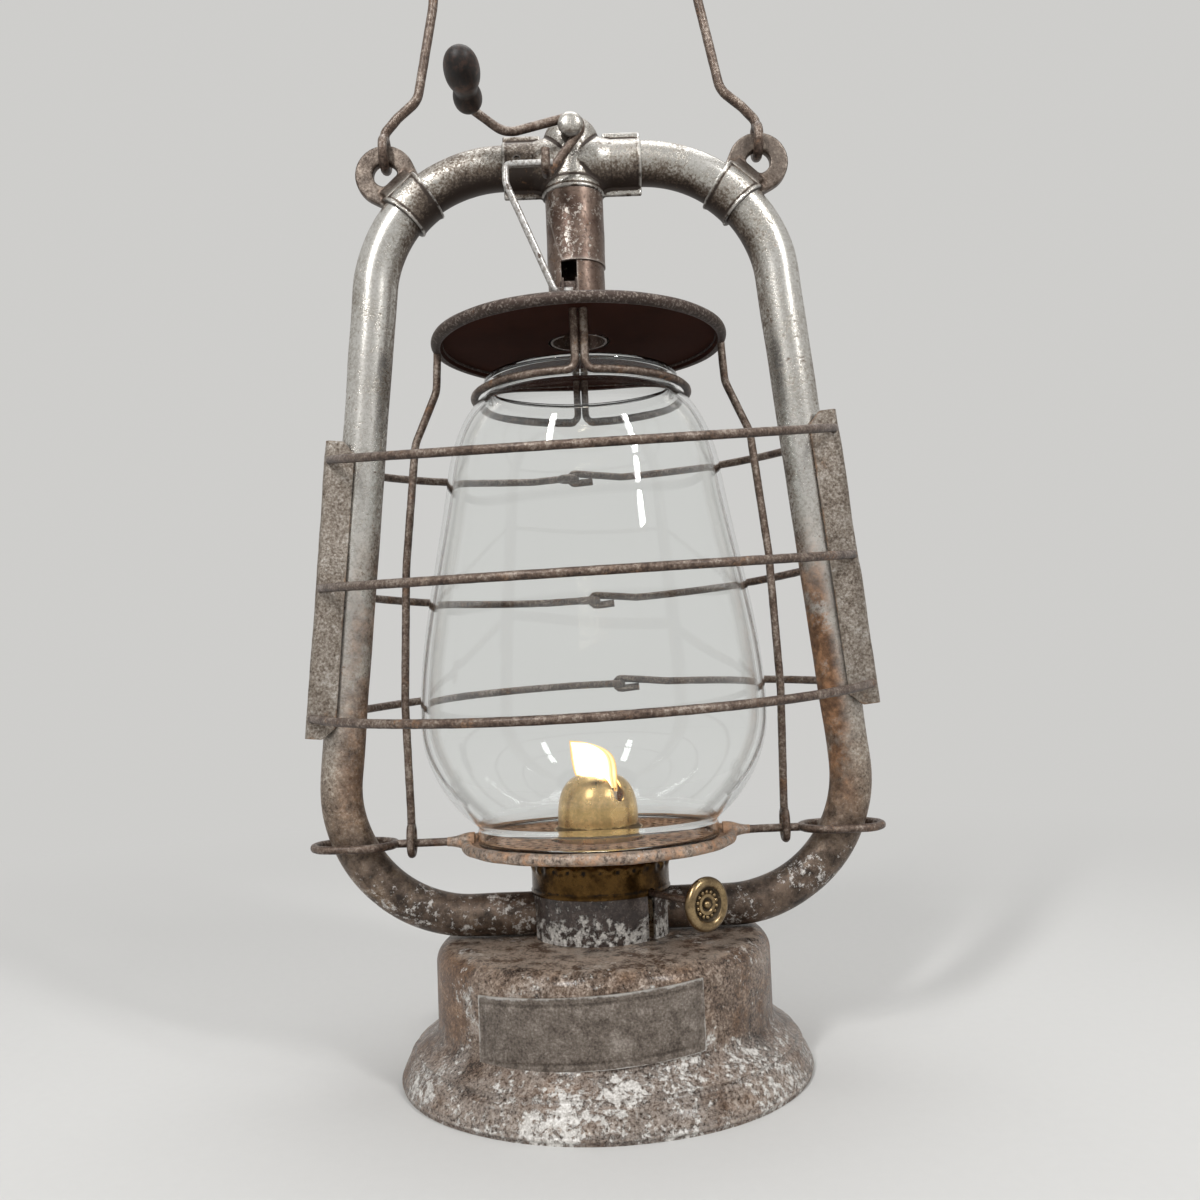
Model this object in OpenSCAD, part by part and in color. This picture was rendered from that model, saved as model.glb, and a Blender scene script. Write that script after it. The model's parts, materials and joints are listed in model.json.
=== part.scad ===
// Hurricane lantern with side air tubes and a crank that lifts the globe.
// Millimetres, +Z up, front towards -Y, origin on the table under the middle of the base.

/* [Fount] */
// Diameter of the fount wall
fount_d = 114.6; // [104:0.2:122]
// Height of the fount above the table
fount_h = 45; // [42:0.5:52]
// Diameter of the flared base
base_d = 140; // [134:0.5:150]
// Height where the flared skirt leaves the wall
skirt_h = 15; // [12:0.5:17]
// Height of the rolled edge at the base
rim_h = 3; // [2.4:0.1:4]
// Thickness of the sheet metal
sheet_t = 0.9; // [0.7:0.05:1.2]
// Radius of the shoulder at the top of the fount
shoulder_r = 6; // [4:0.5:7]
// Width of the blank plate, along its curve
blank_w = 74; // [50:1:90]
// Height of the blank plate
blank_h = 21.6; // [14:0.2:22]
// Angle of the blank plate's middle from the front, towards the left
blank_turn = 6; // [-15:1:15]
// Diameter of the filler neck
neck_d = 18; // [14:0.5:19]
// Height of the filler neck above the fount
neck_h = 4.5; // [3.5:0.1:6]
// Distance of the filler neck from the axis
neck_out = 37.5; // [37:0.5:39]
// Angle of the filler neck from the back, towards the left
neck_turn = 30; // [20:1:40]

/* [Burner] */
// Diameter of the burner collar
collar_d = 47.4; // [46:0.2:49]
// Diameter of the brass ring
ring_d = 48.4; // [48:0.1:50]
// Height of the brass ring's wall
ring_h = 11.4; // [10.5:0.1:13]
// Diameter of the dome's round part
cone_d = 28.2; // [27.4:0.1:28.8]
// Height of the dome above its seat
cone_h = 19.6; // [18.5:0.2:23]
// Thickness of the brass sheet
brass_t = 0.7; // [0.6:0.05:0.8]
// Width of the wick
wick_w = 21; // [18:0.5:21.5]
// Thickness of the wick
wick_t = 1.6; // [1.4:0.1:1.8]
// Diameter of the wick shaft
shaft_d = 2.2; // [2:0.1:2.4]
// Distance of the knob's middle from the axis, along the shaft
knob_out = 50; // [46:0.5:54]
// Diameter of the wick knob
knob_d = 17.2; // [15:0.2:20]
// Thickness of the wick knob
knob_t = 5.4; // [4.6:0.2:7]
// Angle of the wick shaft from the front, towards the right
shaft_turn = 36; // [30:1:45]

/* [Air tubes] */
// Diameter of an air tube at the fount
tube_low_d = 14.5; // [13.5:0.1:15]
// Diameter of an air tube at the tee
tube_top_d = 16; // [15:0.1:16.4]
// Wall of the air tubes
tube_t = 0.8; // [0.6:0.05:1]
// Half width between the tubes' lower corners
tube_low_x = 93.8; // [91:0.2:98]
// Half width between the tubes' upper corners
tube_top_x = 68.6; // [66:0.2:72]
// Height of the tubes' upper run
tube_top_z = 319; // [317:0.5:330]
// Radius of the lower bends
bend_low_r = 45; // [40:1:48]
// Radius of the upper bends
bend_top_r = 48; // [44:1:50]

/* [Tee and chimney] */
// Reach of the tee's arms from the axis
tee_reach = 25; // [23:0.5:27]
// Thickness of the tee's stamped halves
tee_t = 0.6; // [0.5:0.05:0.8]
// Height of the tee's dome above the tubes' upper run
tee_dome = 18; // [16:0.5:20]
// Depth of the tee's neck below the tubes' upper run
tee_neck = 12; // [11.5:0.1:12.5]
// Height of the seam flanges
flange_h = 3.4; // [2.4:0.2:4]
// Diameter of the chimney tube
chimney_d = 20.4; // [19.4:0.1:20.8]
// Width of the slot in the chimney tube
slot_w = 5.6; // [4.8:0.2:7]
// Length of the slot in the chimney tube
slot_h = 27; // [20:1:32]

/* [Ears and bail] */
// Angle of the ears along the upper bends, from the tee
ear_at = 42.5; // [40:0.5:45]
// Width of the ear strap along the tube
strap_w = 12.6; // [10:0.2:14]
// Thickness of the flat ear
ear_t = 2.4; // [2:0.1:2.8]
// Radius of the flat ear round its hole
ear_r = 11.3; // [11:0.1:11.8]
// Diameter of the hole in the ear
ear_hole_d = 9.8; // [9.6:0.1:10.4]
// Distance of the ear's hole from the middle of the tube
ear_out = 15.4; // [15:0.1:17]
// Diameter of the bail wire
bail_d = 3.5; // [3:0.1:3.8]
// Height of the bail above its pivot
bail_h = 146; // [130:1:180]
// Half width of the bail at its arch
bail_x = 47; // [44:0.5:50]

/* [Globe and carriage] */
// Radius of the globe's neck
globe_neck_r = 34.7; // [33.5:0.1:35.5]
// Radius of the globe's belly
globe_belly_r = 60.3; // [57:0.1:61]
// Radius of the globe's foot
globe_foot_r = 42; // [40:0.1:43.5]
// Height of the globe
globe_h = 162.5; // [155:0.5:163]
// Height of the belly above the globe's foot
globe_belly_h = 43; // [40:0.5:48]
// Wall of the glass
glass_t = 2; // [1.6:0.1:2.4]
// Diameter of the globe plate
plate_d = 95.8; // [92:0.2:98]
// Diameter of the hole in the globe plate
plate_hole_d = 33.8; // [32.8:0.1:35]
// Diameter of the carriage wires
wire_d = 2.8; // [2.4:0.1:3]
// Space between the globe's top and the hood
hood_gap = 13.5; // [11:0.5:15]
// Diameter of the hood
hood_d = 105.8; // [102:0.2:110]
// Diameter of the hood's rolled rim
hood_rim_d = 4.2; // [3.8:0.1:4.8]
// Height of the hood's sliding collar
hood_collar_h = 10; // [8:0.5:11]
// Outer end of the guide loops
loop_out = 99.1; // [98:0.2:101]
// Inner end of the guide loops
loop_in = 71; // [69:0.2:72]
// Half width of the guide loops
loop_y = 10; // [9.6:0.1:11]

/* [Crank] */
// Height of the crank's pivot above the tubes' upper run
pivot_up = 7; // [6:0.2:8]
// Distance of the crank wire's plane in front of the axis
crank_y = 15.9; // [15.6:0.1:17]
// Diameter of the crank wire
crank_d = 3.2; // [2.8:0.1:3.4]
// Diameter of the crank pin
pin_d = 3.8; // [3.4:0.1:4.2]
// Length of the crank's lifting arm
crank_r = 19.8; // [19:0.1:20.4]
// Angle of the lifting arm from straight down, towards the left
crank_rest = 27; // [24:0.5:30]
// Distance of the grip's axis from the pivot
grip_out = 35; // [33:0.2:38]
// Height of the grip's axis above the pivot
grip_up = 8.2; // [6:0.2:10]
// Length of the wooden grip
grip_h = 32; // [30:0.5:36]
// Diameter of the wooden grip
grip_d = 12; // [11:0.2:13.6]
// Diameter of the lift rod
rod_d = 2.5; // [2.2:0.1:2.6]

/* [Guard] */
// Height of the middle of the right guard plate
guard_z = 171.2; // [168:0.2:176]
// How much lower the left guard plate sits than the right one
left_drop = 4.4; // [0:0.2:6]
// Length of the guard plates
guard_h = 104; // [98:0.5:108]
// Distance from the tube's middle to the guard plate's outer face
guard_out = 12.4; // [11.8:0.1:13]
// Spacing of the guard wires
guard_pitch = 45; // [40:0.5:46]
// Diameter of the guard wires
guard_d = 3; // [2.6:0.1:3.2]
// Distance from the axis to the guard wires' front
guard_front = 70; // [67:0.5:76]

/* [Clearances] */
// Gap between fixed pieces that seat in each other
seat_gap = 0.2; // [0.15:0.05:0.3]
// Gap between pieces that slide on each other
slide_gap = 0.35; // [0.3:0.05:0.4]
// Radial gap of pins that turn in their holes
pin_gap = 0.08; // [0.05:0.01:0.1]

/* [Hidden] */
$fn = 64;

// Steps in a drawn arc, degrees of bend for each ring of a wire or a tube, and their sides
arc_steps = 10;
wire_step = 15;
tube_step = 8;
wire_sides = 8;
tube_sides = 20;

// Colours
tin = "silver";
rust = [0.36, 0.26, 0.2];
patina = [0.42, 0.36, 0.31];
brass = [0.72, 0.56, 0.25];

// Heights that follow from the sizes above
fount_r = fount_d / 2;
base_r = base_d / 2;
tube_low_z = fount_h + tube_low_d / 2 + seat_gap;
collar_top = tube_low_z + tube_low_d / 2 + seat_gap;
ring_top = collar_top + ring_h;
plate_lift = 4.6;
plate_t = 1.2;
plate_z = ring_top + plate_lift + slide_gap;
plate_top = plate_z + plate_t;
globe_z = plate_top + seat_gap;
globe_top = globe_z + globe_h;
cone_lift = 2;
cone_z = plate_top + cone_lift;
hood_z = globe_top + hood_gap;
hood_top = hood_z + sheet_t;
pivot_z = tube_top_z + pivot_up;
shaft_sink = 0.5;
shaft_z = collar_top + shaft_d / 2 - shaft_sink;

// Unit vector, angle turned at the corner q, and points along an arc and along a cubic curve
function unit(v) = v / norm(v);
function turn_at(p, q, s) = acos(max(-1, min(1, unit(q - p) * unit(s - q))));
function arc(c, r, a0, a1, n = arc_steps) =
  [for (i = [0:n]) let (a = a0 + (a1 - a0) * i / n) c + r * [cos(a), sin(a)]];
function cubic(a, b, c, d, n = arc_steps) =
  [for (i = [0:n]) let (t = i / n, s = 1 - t)
    a * s * s * s + b * 3 * s * s * t + c * 3 * s * t * t + d * t * t * t];
function flip(list) = [for (i = [len(list) - 1:-1:0]) list[i]];
function joined(lists) = [for (l = lists) each l];

// Points moved sideways by t, to the left of their direction
function sideways(pts, t) = [for (i = [0:len(pts) - 1])
  let (d = unit(pts[min(i + 1, len(pts) - 1)] - pts[max(i - 1, 0)])) pts[i] + t * [-d.y, d.x]];

// Centre line of a bent wire: corner points, each rounded to its bend radius
function bend_points(p, q, s, r, step = wire_step) =
  let (a = unit(q - p), b = unit(s - q), t = turn_at(p, q, s), n = max(2, ceil(t / step)))
  t < 0.5 ? [q] :
  let (c = q + unit(b - a) * r / cos(t / 2), e = unit(q - a * r * tan(t / 2) - c))
  [for (i = [0:n]) c + r * (e * cos(t * i / n) + a * sin(t * i / n))];
function rounded_path(pts, bends, step = wire_step) = [
  pts[0],
  for (i = [1:len(pts) - 2]) each
    bend_points(pts[i - 1], pts[i], pts[i + 1], is_list(bends) ? bends[i - 1] : bends, step),
  pts[len(pts) - 1]
];
function circle_path(c, r, u, v, a0, a1, n = 14) =
  [for (i = [0:n]) let (a = a0 + (a1 - a0) * i / n) c + r * (u * cos(a) + v * sin(a))];
function mirrored(pts) = [for (p = pts) [-p.x, p.y, p.z]];

// Directions along a path, and side vectors carried along it without twist
function path_dirs(p) = [for (i = [0:len(p) - 1]) unit(p[min(i + 1, len(p) - 1)] - p[max(i - 1, 0)])];
function any_side(d) = unit(cross(d, abs(d.y) < 0.9 ? [0, 1, 0] : [1, 0, 0]));
function square_to(u, d) = unit(u - d * (u * d));
function path_sides(d) = [for (i = 0, u = any_side(d[0]); i < len(d);
  i = i + 1, u = i < len(d) ? square_to(u, d[i]) : u) u];
function ring_points(c, d, u, r, sides) =
  [for (k = [0:sides - 1]) c + r * (u * cos(360 * k / sides) + cross(d, u) * sin(360 * k / sides))];
function skin(m, n, first, flip_faces = false) = [for (i = [0:m - 2], k = [0:n - 1])
  let (a = first + i * n + k, b = first + i * n + (k + 1) % n, c = a + n, d = b + n)
  each flip_faces ? [[a, b, d], [a, d, c]] : [[a, d, b], [a, c, d]]];

// Solid wire along a path
module wire(path, d, sides = wire_sides) {
  m = len(path);
  dirs = path_dirs(path);
  us = path_sides(dirs);
  pts = [for (i = [0:m - 1]) each ring_points(path[i], dirs[i], us[i], d / 2, sides)];
  caps = [for (k = [1:sides - 2]) each [[0, k, k + 1],
    [(m - 1) * sides, (m - 1) * sides + k + 1, (m - 1) * sides + k]]];
  polyhedron(points = pts, faces = concat(skin(m, sides, 0), caps));
}

// Closed loop of wire along a path whose last point is also its first
module wire_loop(path, d, sides = wire_sides) {
  m = len(path) - 1;
  dirs = [for (i = [0:m - 1]) unit(path[i + 1] - path[(i + m - 1) % m])];
  us = path_sides(dirs);
  pts = [for (i = [0:m - 1]) each ring_points(path[i], dirs[i], us[i], d / 2, sides)];
  faces = [for (i = [0:m - 1], k = [0:sides - 1])
    let (j = (i + 1) % m, a = i * sides + k, b = i * sides + (k + 1) % sides,
      c = j * sides + k, e = j * sides + (k + 1) % sides)
    each [[a, e, b], [a, c, e]]];
  polyhedron(points = pts, faces = faces);
}

// Hollow tube along a path, with its outer radius at each point of the path
module pipe(path, radii, wall, sides = tube_sides) {
  m = len(path);
  dirs = path_dirs(path);
  us = path_sides(dirs);
  outer = [for (i = [0:m - 1]) each ring_points(path[i], dirs[i], us[i], radii[i], sides)];
  inner = [for (i = [0:m - 1]) each ring_points(path[i], dirs[i], us[i], radii[i] - wall, sides)];
  h = m * sides;
  ends = [for (k = [0:sides - 1]) let (q = (k + 1) % sides, e = (m - 1) * sides)
    each [[k, q, h + q], [k, h + q, h + k], [e + k, h + e + q, e + q], [e + k, h + e + k, h + e + q]]];
  polyhedron(points = concat(outer, inner),
    faces = concat(skin(m, sides, 0), skin(m, sides, h, true), ends));
}

module mirror_x() mirror([1, 0, 0]) children();
module at_front(z) translate([0, 0, z]) rotate([90, 0, 0]) children();

// Fount

skirt_r = 50;
skirt_step = 3;
skirt_top_r = fount_r + skirt_step;
rim_round = 0.4;
rim_groove = 0.7;
skirt_low = [base_r - rim_groove, rim_h + rim_round];
skirt_high = [skirt_top_r, skirt_h];
skirt_mid = (skirt_low + skirt_high) / 2;
skirt_along = unit(skirt_high - skirt_low);
skirt_half = norm(skirt_high - skirt_low) / 2;
skirt_c = skirt_mid - sqrt(skirt_r * skirt_r - skirt_half * skirt_half) * [skirt_along.y, -skirt_along.x];
skirt_a0 = atan2(skirt_low.y - skirt_c.y, skirt_low.x - skirt_c.x);
skirt_a1 = atan2(skirt_high.y - skirt_c.y, skirt_high.x - skirt_c.x);
skirt_bead = 0.6;
wall_fillet = 1.8;
bead_a = (skirt_a0 + skirt_a1) / 2;
bead_half = skirt_bead / skirt_r * 180 / PI;
fount_line = joined([
  [[base_r - rim_round, 0], [base_r, rim_round], [base_r, rim_h - rim_round]],
  arc(skirt_c, skirt_r, skirt_a0, bead_a - bead_half, 5),
  arc(skirt_c + skirt_r * [cos(bead_a), sin(bead_a)], skirt_bead, bead_a - 75, bead_a + 75, 6),
  arc(skirt_c, skirt_r, bead_a + bead_half, skirt_a1, 5),
  [[fount_r + wall_fillet / 2, skirt_h + wall_fillet / 2], [fount_r, skirt_h + wall_fillet]],
  arc([fount_r - shoulder_r, fount_h - shoulder_r], shoulder_r, 0, 90)
]);
fount_inside = joined([
  [[base_r - rim_h, 0], [base_r - rim_h, rim_h]],
  arc(skirt_c, skirt_r - sheet_t, skirt_a0, skirt_a1),
  [[fount_r - sheet_t, skirt_h + wall_fillet - sheet_t / 2]],
  arc([fount_r - shoulder_r, fount_h - shoulder_r], shoulder_r - sheet_t, 0, 90)
]);
throat_room = 3;
throat_r = wick_w / 2 + throat_room;
neck_at = neck_out * [-sin(neck_turn), cos(neck_turn), 0] + [0, 0, fount_h];
neck_r = neck_d / 2;

module fount_shell() color(patina) difference() {
  rotate_extrude() polygon(concat(fount_line, [[throat_r, fount_h], [throat_r, fount_h - sheet_t]],
    flip(fount_inside)));
  translate(neck_at) cylinder(h = 4 * sheet_t, r = neck_r + seat_gap, center = true);
}

pan_r = base_r - rim_groove - 2 * sheet_t - seat_gap;
pan_rise = 3;
pan_flat_r = pan_r - 8;
pan_foot_r = pan_r - 5;
module fount_bottom() color(patina) rotate_extrude() polygon([
  [0, rim_h + pan_rise], [pan_flat_r, rim_h + pan_rise], [pan_foot_r, rim_h], [pan_r, rim_h],
  [pan_r - sheet_t / 2, rim_h + sheet_t], [pan_foot_r + sheet_t / 2, rim_h + sheet_t],
  [pan_flat_r + sheet_t / 2, rim_h + pan_rise + sheet_t], [0, rim_h + pan_rise + sheet_t]
]);

blank_t = 0.6;
blank_z = skirt_h + wall_fillet + seat_gap;
module blank_plate() color(patina) {
  span = blank_w / (2 * PI * fount_r) * 360;
  translate([0, 0, blank_z]) rotate([0, 0, 270 - blank_turn - span / 2])
    rotate_extrude(angle = span, $fn = 180) translate([fount_r + seat_gap / 2, 0]) square([blank_t, blank_h]);
}

cap_wall = 1;
cap_r = neck_r + 2 * slide_gap + cap_wall;
cap_low = 1.3;
cap_grips = 18;
grip_groove = 0.9;
seal_t = 1;
seal_w = 3;
neck_depth = 3;
neck_flange = 0.9;
module filler_neck() color(patina) translate(neck_at) rotate_extrude() polygon([
  [neck_r - sheet_t, -neck_depth], [neck_r, -neck_depth], [neck_r, 0], [neck_r + neck_flange, 0],
  [neck_r + neck_flange, neck_flange], [neck_r, neck_flange], [neck_r, neck_h], [neck_r - sheet_t, neck_h]
]);
module filler_seal() color([0.15, 0.13, 0.12]) translate(neck_at + [0, 0, neck_h + seat_gap])
  difference() {
    cylinder(h = seal_t, r = neck_r);
    translate([0, 0, -seal_t]) cylinder(h = 3 * seal_t, r = neck_r - seal_w);
  }
module filler_cap() color(patina) translate(neck_at) {
  cap_in = neck_h + seal_t + 2 * seat_gap;
  difference() {
    rotate_extrude() polygon([
      [cap_r - cap_wall, cap_low], [cap_r, cap_low], [cap_r, cap_in], [cap_r - cap_wall, cap_in + cap_wall],
      [0, cap_in + cap_wall], [0, cap_in], [cap_r - cap_wall, cap_in]
    ]);
    for (i = [1:cap_grips]) rotate([0, 0, i * 360 / cap_grips]) translate([cap_r + grip_groove / 2, 0, 0])
      cylinder(h = cap_in - grip_groove / 2, r = grip_groove);
  }
}

// Burner

collar_r = collar_d / 2;
ring_r = ring_d / 2;
ring_wall = 0.8;
spigot_r = ring_r - ring_wall - seat_gap;
spigot_h = 6;
tube_room = tube_low_d + 2 * seat_gap;
wheel_r = 2.5;
wheel_bite = 0.3;
shaft_off = wick_t / 2 + wheel_r + wheel_bite;
shaft_r = shaft_d / 2;
shaft_room = 0.6;
shaft_slot = shaft_d + 2 * shaft_room;

// Places things along the wick shaft: +X outwards along the shaft, +Z up
module on_shaft() rotate([0, 0, shaft_turn - 90]) translate([0, shaft_off, shaft_z]) children();
module across_wick() rotate([0, 0, shaft_turn - 90]) children();

module burner_collar() color(rust) difference() {
  rotate_extrude() polygon([
    [spigot_r - ring_wall, fount_h], [collar_r, fount_h], [collar_r, collar_top], [spigot_r, collar_top],
    [spigot_r, collar_top + spigot_h], [spigot_r - ring_wall, collar_top + spigot_h]
  ]);
  translate([0, 0, tube_low_z]) rotate([0, 90, 0])
    cylinder(h = 3 * collar_r, d = tube_room, center = true);
  translate([0, 0, fount_h]) cube([3 * collar_r, tube_room, tube_room], center = true);
  on_shaft() translate([0, -shaft_slot / 2, fount_h - shaft_z - 1])
    cube([2 * collar_r, shaft_slot, shaft_z - fount_h + 1 + shaft_slot / 2]);
}

cone_r = cone_d / 2;
cone_flange = 1.5;
cone_rim_r = cone_r + cone_flange;
burner_neck_r = cone_rim_r - 0.4;
burner_top = ring_top + plate_lift;
deck_r = burner_neck_r + 4;
ring_round = 1;
dimples = 30;
dimple_r = 1.1;
module burner_ring() color(brass) difference() {
  rotate_extrude() polygon([
    [ring_r - ring_wall, collar_top], [ring_r, collar_top], [ring_r, ring_top - ring_round],
    [ring_r - ring_round, ring_top], [deck_r, burner_top], [burner_neck_r, burner_top],
    [burner_neck_r, cone_z], [burner_neck_r - ring_wall, cone_z],
    [burner_neck_r - ring_wall, burner_top - ring_wall],
    [deck_r - ring_wall / 2, burner_top - ring_wall],
    [ring_r - ring_round - ring_wall / 2, ring_top - ring_wall],
    [ring_r - ring_wall, ring_top - ring_round - ring_wall / 2]
  ]);
  for (i = [1:dimples]) rotate([0, 0, i * 360 / dimples])
    translate([ring_r + 0.6 * dimple_r, 0, ring_top - 2 * dimple_r]) sphere(r = dimple_r, $fn = 24);
  on_shaft() rotate([0, 90, 0]) cylinder(h = 2 * ring_r, d = shaft_slot);
}

// Dome over the wick, open along the wick at its top
slot_deep = 8.5;
dome_top = cone_z + cone_h;
dome_low = cone_z + 4;
flange_t = 0.8;
function dome_line(t) = cubic([cone_r - t, dome_low], [cone_r - t, dome_top - 7],
  [0.8 * cone_r - t, dome_top - t], [0, dome_top - t]);
module burner_cone() color(brass) difference() {
  outside = joined([[[cone_rim_r, cone_z], [cone_rim_r, cone_z + flange_t]],
    cubic([cone_rim_r - 0.4, cone_z + flange_t], [cone_r, cone_z + 2 * flange_t],
      [cone_r, cone_z + 3 * flange_t], [cone_r, dome_low - 0.2]), dome_line(0)]);
  inside = joined([[[cone_r - brass_t, cone_z]], dome_line(brass_t)]);
  rotate_extrude() polygon(concat(outside, flip(inside)));
  across_wick() translate([0, 0, dome_top])
    cube([wick_w + 2.4, wick_t + 2.6, 2 * slot_deep], center = true);
}

wick_tube_t = 0.7;
wick_room = 0.5;
wick_low = 14;
wick_top = cone_z + cone_h - 4.1;
wick_tube_low = fount_h - 6;
wick_tube_top = wick_top - 7;
wheel_at = 5.5;
wheel_w = 1.8;
lug_at = wick_w / 2 - 1.4;
lug_h = 4.8;
wheel_room = 0.6;
lug_w = 1.6;
module wick_tube() color(brass) {
  across_wick() difference() {
    union() {
      translate([0, 0, (wick_tube_low + wick_tube_top) / 2]) cube([wick_w + 2 * (wick_room + wick_tube_t),
        wick_t + 2 * (wick_room + wick_tube_t), wick_tube_top - wick_tube_low], center = true);
      translate([0, 0, fount_h]) cylinder(h = sheet_t, r = throat_r + 2);
      for (s = [-1, 1]) translate([s * lug_at - lug_w / 2, wick_t / 2 + wick_room, shaft_z - lug_h / 2])
        cube([lug_w, lug_h - seat_gap, lug_h]);
    }
    translate([0, 0, wick_top / 2])
      cube([wick_w + 2 * wick_room, wick_t + 2 * wick_room, 2 * wick_top], center = true);
    translate([0, shaft_off, shaft_z]) rotate([0, 90, 0])
      cylinder(h = 3 * wick_w, r = shaft_r + pin_gap, center = true);
    for (s = [-1, 1]) translate([s * wheel_at, shaft_off, shaft_z])
      cube([wheel_w + 2 * wheel_room, 2 * shaft_off - wick_t, 2 * (wheel_r + wheel_room)], center = true);
  }
}
module wick() color([0.9, 0.87, 0.78]) across_wick() translate([-wick_w / 2, -wick_t / 2, wick_low])
  cube([wick_w, wick_t, wick_top - wick_low]);
module wick_shaft() color([0.45, 0.4, 0.33]) on_shaft() rotate([0, 90, 0]) {
  spikes = 8;
  spike_h = 0.8;
  shaft_end = lug_at + lug_w / 2 + 0.6;
  translate([0, 0, -shaft_end]) cylinder(h = knob_out + shaft_end, r = shaft_r);
  for (s = [-1, 1]) translate([0, 0, s * wheel_at - wheel_w / 2]) linear_extrude(wheel_w)
    polygon([for (i = [0:2 * spikes - 1]) (i % 2 == 0 ? wheel_r : wheel_r - spike_h)
      * [cos(i * 180 / spikes), sin(i * 180 / spikes)]]);
}
knob_r = knob_d / 2;
// Knob with a rolled edge, a dished face, a ring of beads and a rivet
knob_roll = 1.7;
knob_face = knob_t - 1.6;
knob_beads = 14;
module wick_knob() color(brass) on_shaft() translate([knob_out - knob_t / 2, 0, 0]) rotate([0, 90, 0])
  difference() {
    union() {
      rotate_extrude() polygon(joined([
        [[0, 0], [3, 0], [3.4, knob_t - 2 * knob_roll - 0.6]],
        arc([knob_r - knob_roll, knob_t - knob_roll], knob_roll, -90, 150),
        [[knob_r - 2 * knob_roll - 0.6, knob_face], [3.6, knob_face], [3, knob_face + 0.6],
          [2.2, knob_face + 0.6], [1.9, knob_face + 0.2]],
        arc([0, knob_face + 0.1], 1.4, 0, 90)
      ]));
      for (i = [1:knob_beads]) rotate([0, 0, i * 360 / knob_beads])
        translate([(knob_r - 2 * knob_roll + 3) / 2 - 0.1, 0, knob_face]) sphere(r = 0.62, $fn = 24);
    }
    translate([0, 0, -1]) cylinder(h = knob_t / 2 + 1.2, r = shaft_r + pin_gap);
  }

// Air tubes

tube_low_end = spigot_r - 2;
tube_top_end = 13;
tube_low = [tube_low_x, 0, tube_low_z];
tube_top = [tube_top_x, 0, tube_top_z];
tube_up = unit(tube_top - tube_low);
tube_path = rounded_path([[tube_low_end, 0, tube_low_z], tube_low, tube_top, [tube_top_end, 0, tube_top_z]],
  [bend_low_r, bend_top_r], tube_step);
tube_slope = turn_at([0, 0, 0], [0, 0, 1], [0, 0, 1] + tube_up);
tube_split = (tube_low_z + tube_top_z) / 2;
tube_radii = [for (p = tube_path) (p.z < tube_split ? tube_low_d : tube_top_d) / 2];
bend_top_c = [tube_top_x - bend_top_r * tan((90 - tube_slope) / 2), tube_top_z - bend_top_r];

// Middle of the tube's straight side at height z, and its radius there
function tube_x(z) = tube_low_x + (z - tube_low_z) * tube_up.x / tube_up.z;
function tube_r(z) = tube_low_d / 2 + (tube_top_d - tube_low_d) / 2
  * (z - tube_low_z - bend_low_r) / (tube_top_z - bend_top_r - tube_low_z - bend_low_r);

module right_tube() color(tin) pipe(tube_path, tube_radii, tube_t);
module left_tube() color(tin) mirror_x() right_tube();

// Tee and chimney

arm_r = tube_top_d / 2 + seat_gap + tee_t;
chimney_r = chimney_d / 2;
hood_collar_r = chimney_r + slide_gap;
hood_fillet = 1.4;
tee_r = chimney_r + seat_gap;
neck_out_r = chimney_r + seat_gap + tee_t;
neck_taper = 1.4;
arm_root = 9.4;
arm_taper_end = 14;
arm_root_r = tee_r - 0.4;
seam = 0.1;
flange_in = neck_out_r + 0.3;
pin_r = pin_d / 2;

module tee_outside() {
  rotate_extrude() polygon(joined([
    [[0, tube_top_z - tee_neck], [neck_out_r, tube_top_z - tee_neck], [neck_out_r, chimney_top],
      [tee_r, chimney_top + neck_taper]],
    arc([0, tube_top_z + tee_dome - tee_r], tee_r, 0, 90)
  ]));
  translate([0, 0, tube_top_z]) rotate([0, 90, 0]) rotate_extrude() polygon([
    [0, -tee_reach], [arm_r, -tee_reach], [arm_r, -arm_taper_end], [arm_root_r, -arm_root],
    [arm_root_r, arm_root], [arm_r, arm_taper_end], [arm_r, tee_reach], [0, tee_reach]
  ]);
}
module tee_inside() {
  rotate_extrude() polygon(joined([
    [[0, tube_top_z - tee_neck - 1], [chimney_r + seat_gap, tube_top_z - tee_neck - 1],
      [chimney_r + seat_gap, chimney_top + tee_t], [tee_r - tee_t, chimney_top + neck_taper + tee_t / 2]],
    arc([0, tube_top_z + tee_dome - tee_r], tee_r - tee_t, 0, 90)
  ]));
  translate([0, 0, tube_top_z]) rotate([0, 90, 0])
    cylinder(h = 2 * tee_reach + 2, r = tube_top_d / 2 + seat_gap, center = true);
}
// One stamped half, its seam flanges turned out along both arms
module tee_half(front) {
  s = front ? -1 : 1;
  big = 2 * (tee_reach + 5);
  difference() {
    intersection() {
      union() {
        tee_outside();
        for (side = [-1, 1], v = [-1, 1])
          translate([side * (flange_in + tee_reach) / 2, 0,
            tube_top_z + v * (arm_r - tee_t / 2 + flange_h / 2)])
            cube([tee_reach - flange_in, 2 * (tee_t + seam), flange_h], center = true);
      }
      translate([0, s * (big / 2 + seam), tube_top_z]) cube([2 * big, big, big], center = true);
    }
    tee_inside();
    if (front) at_front(pivot_z) cylinder(h = 2 * tee_r, r = pin_r + pin_gap);
  }
}
module tee_front() color(tin) tee_half(true);
module tee_rear() color(tin) tee_half(false);

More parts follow.
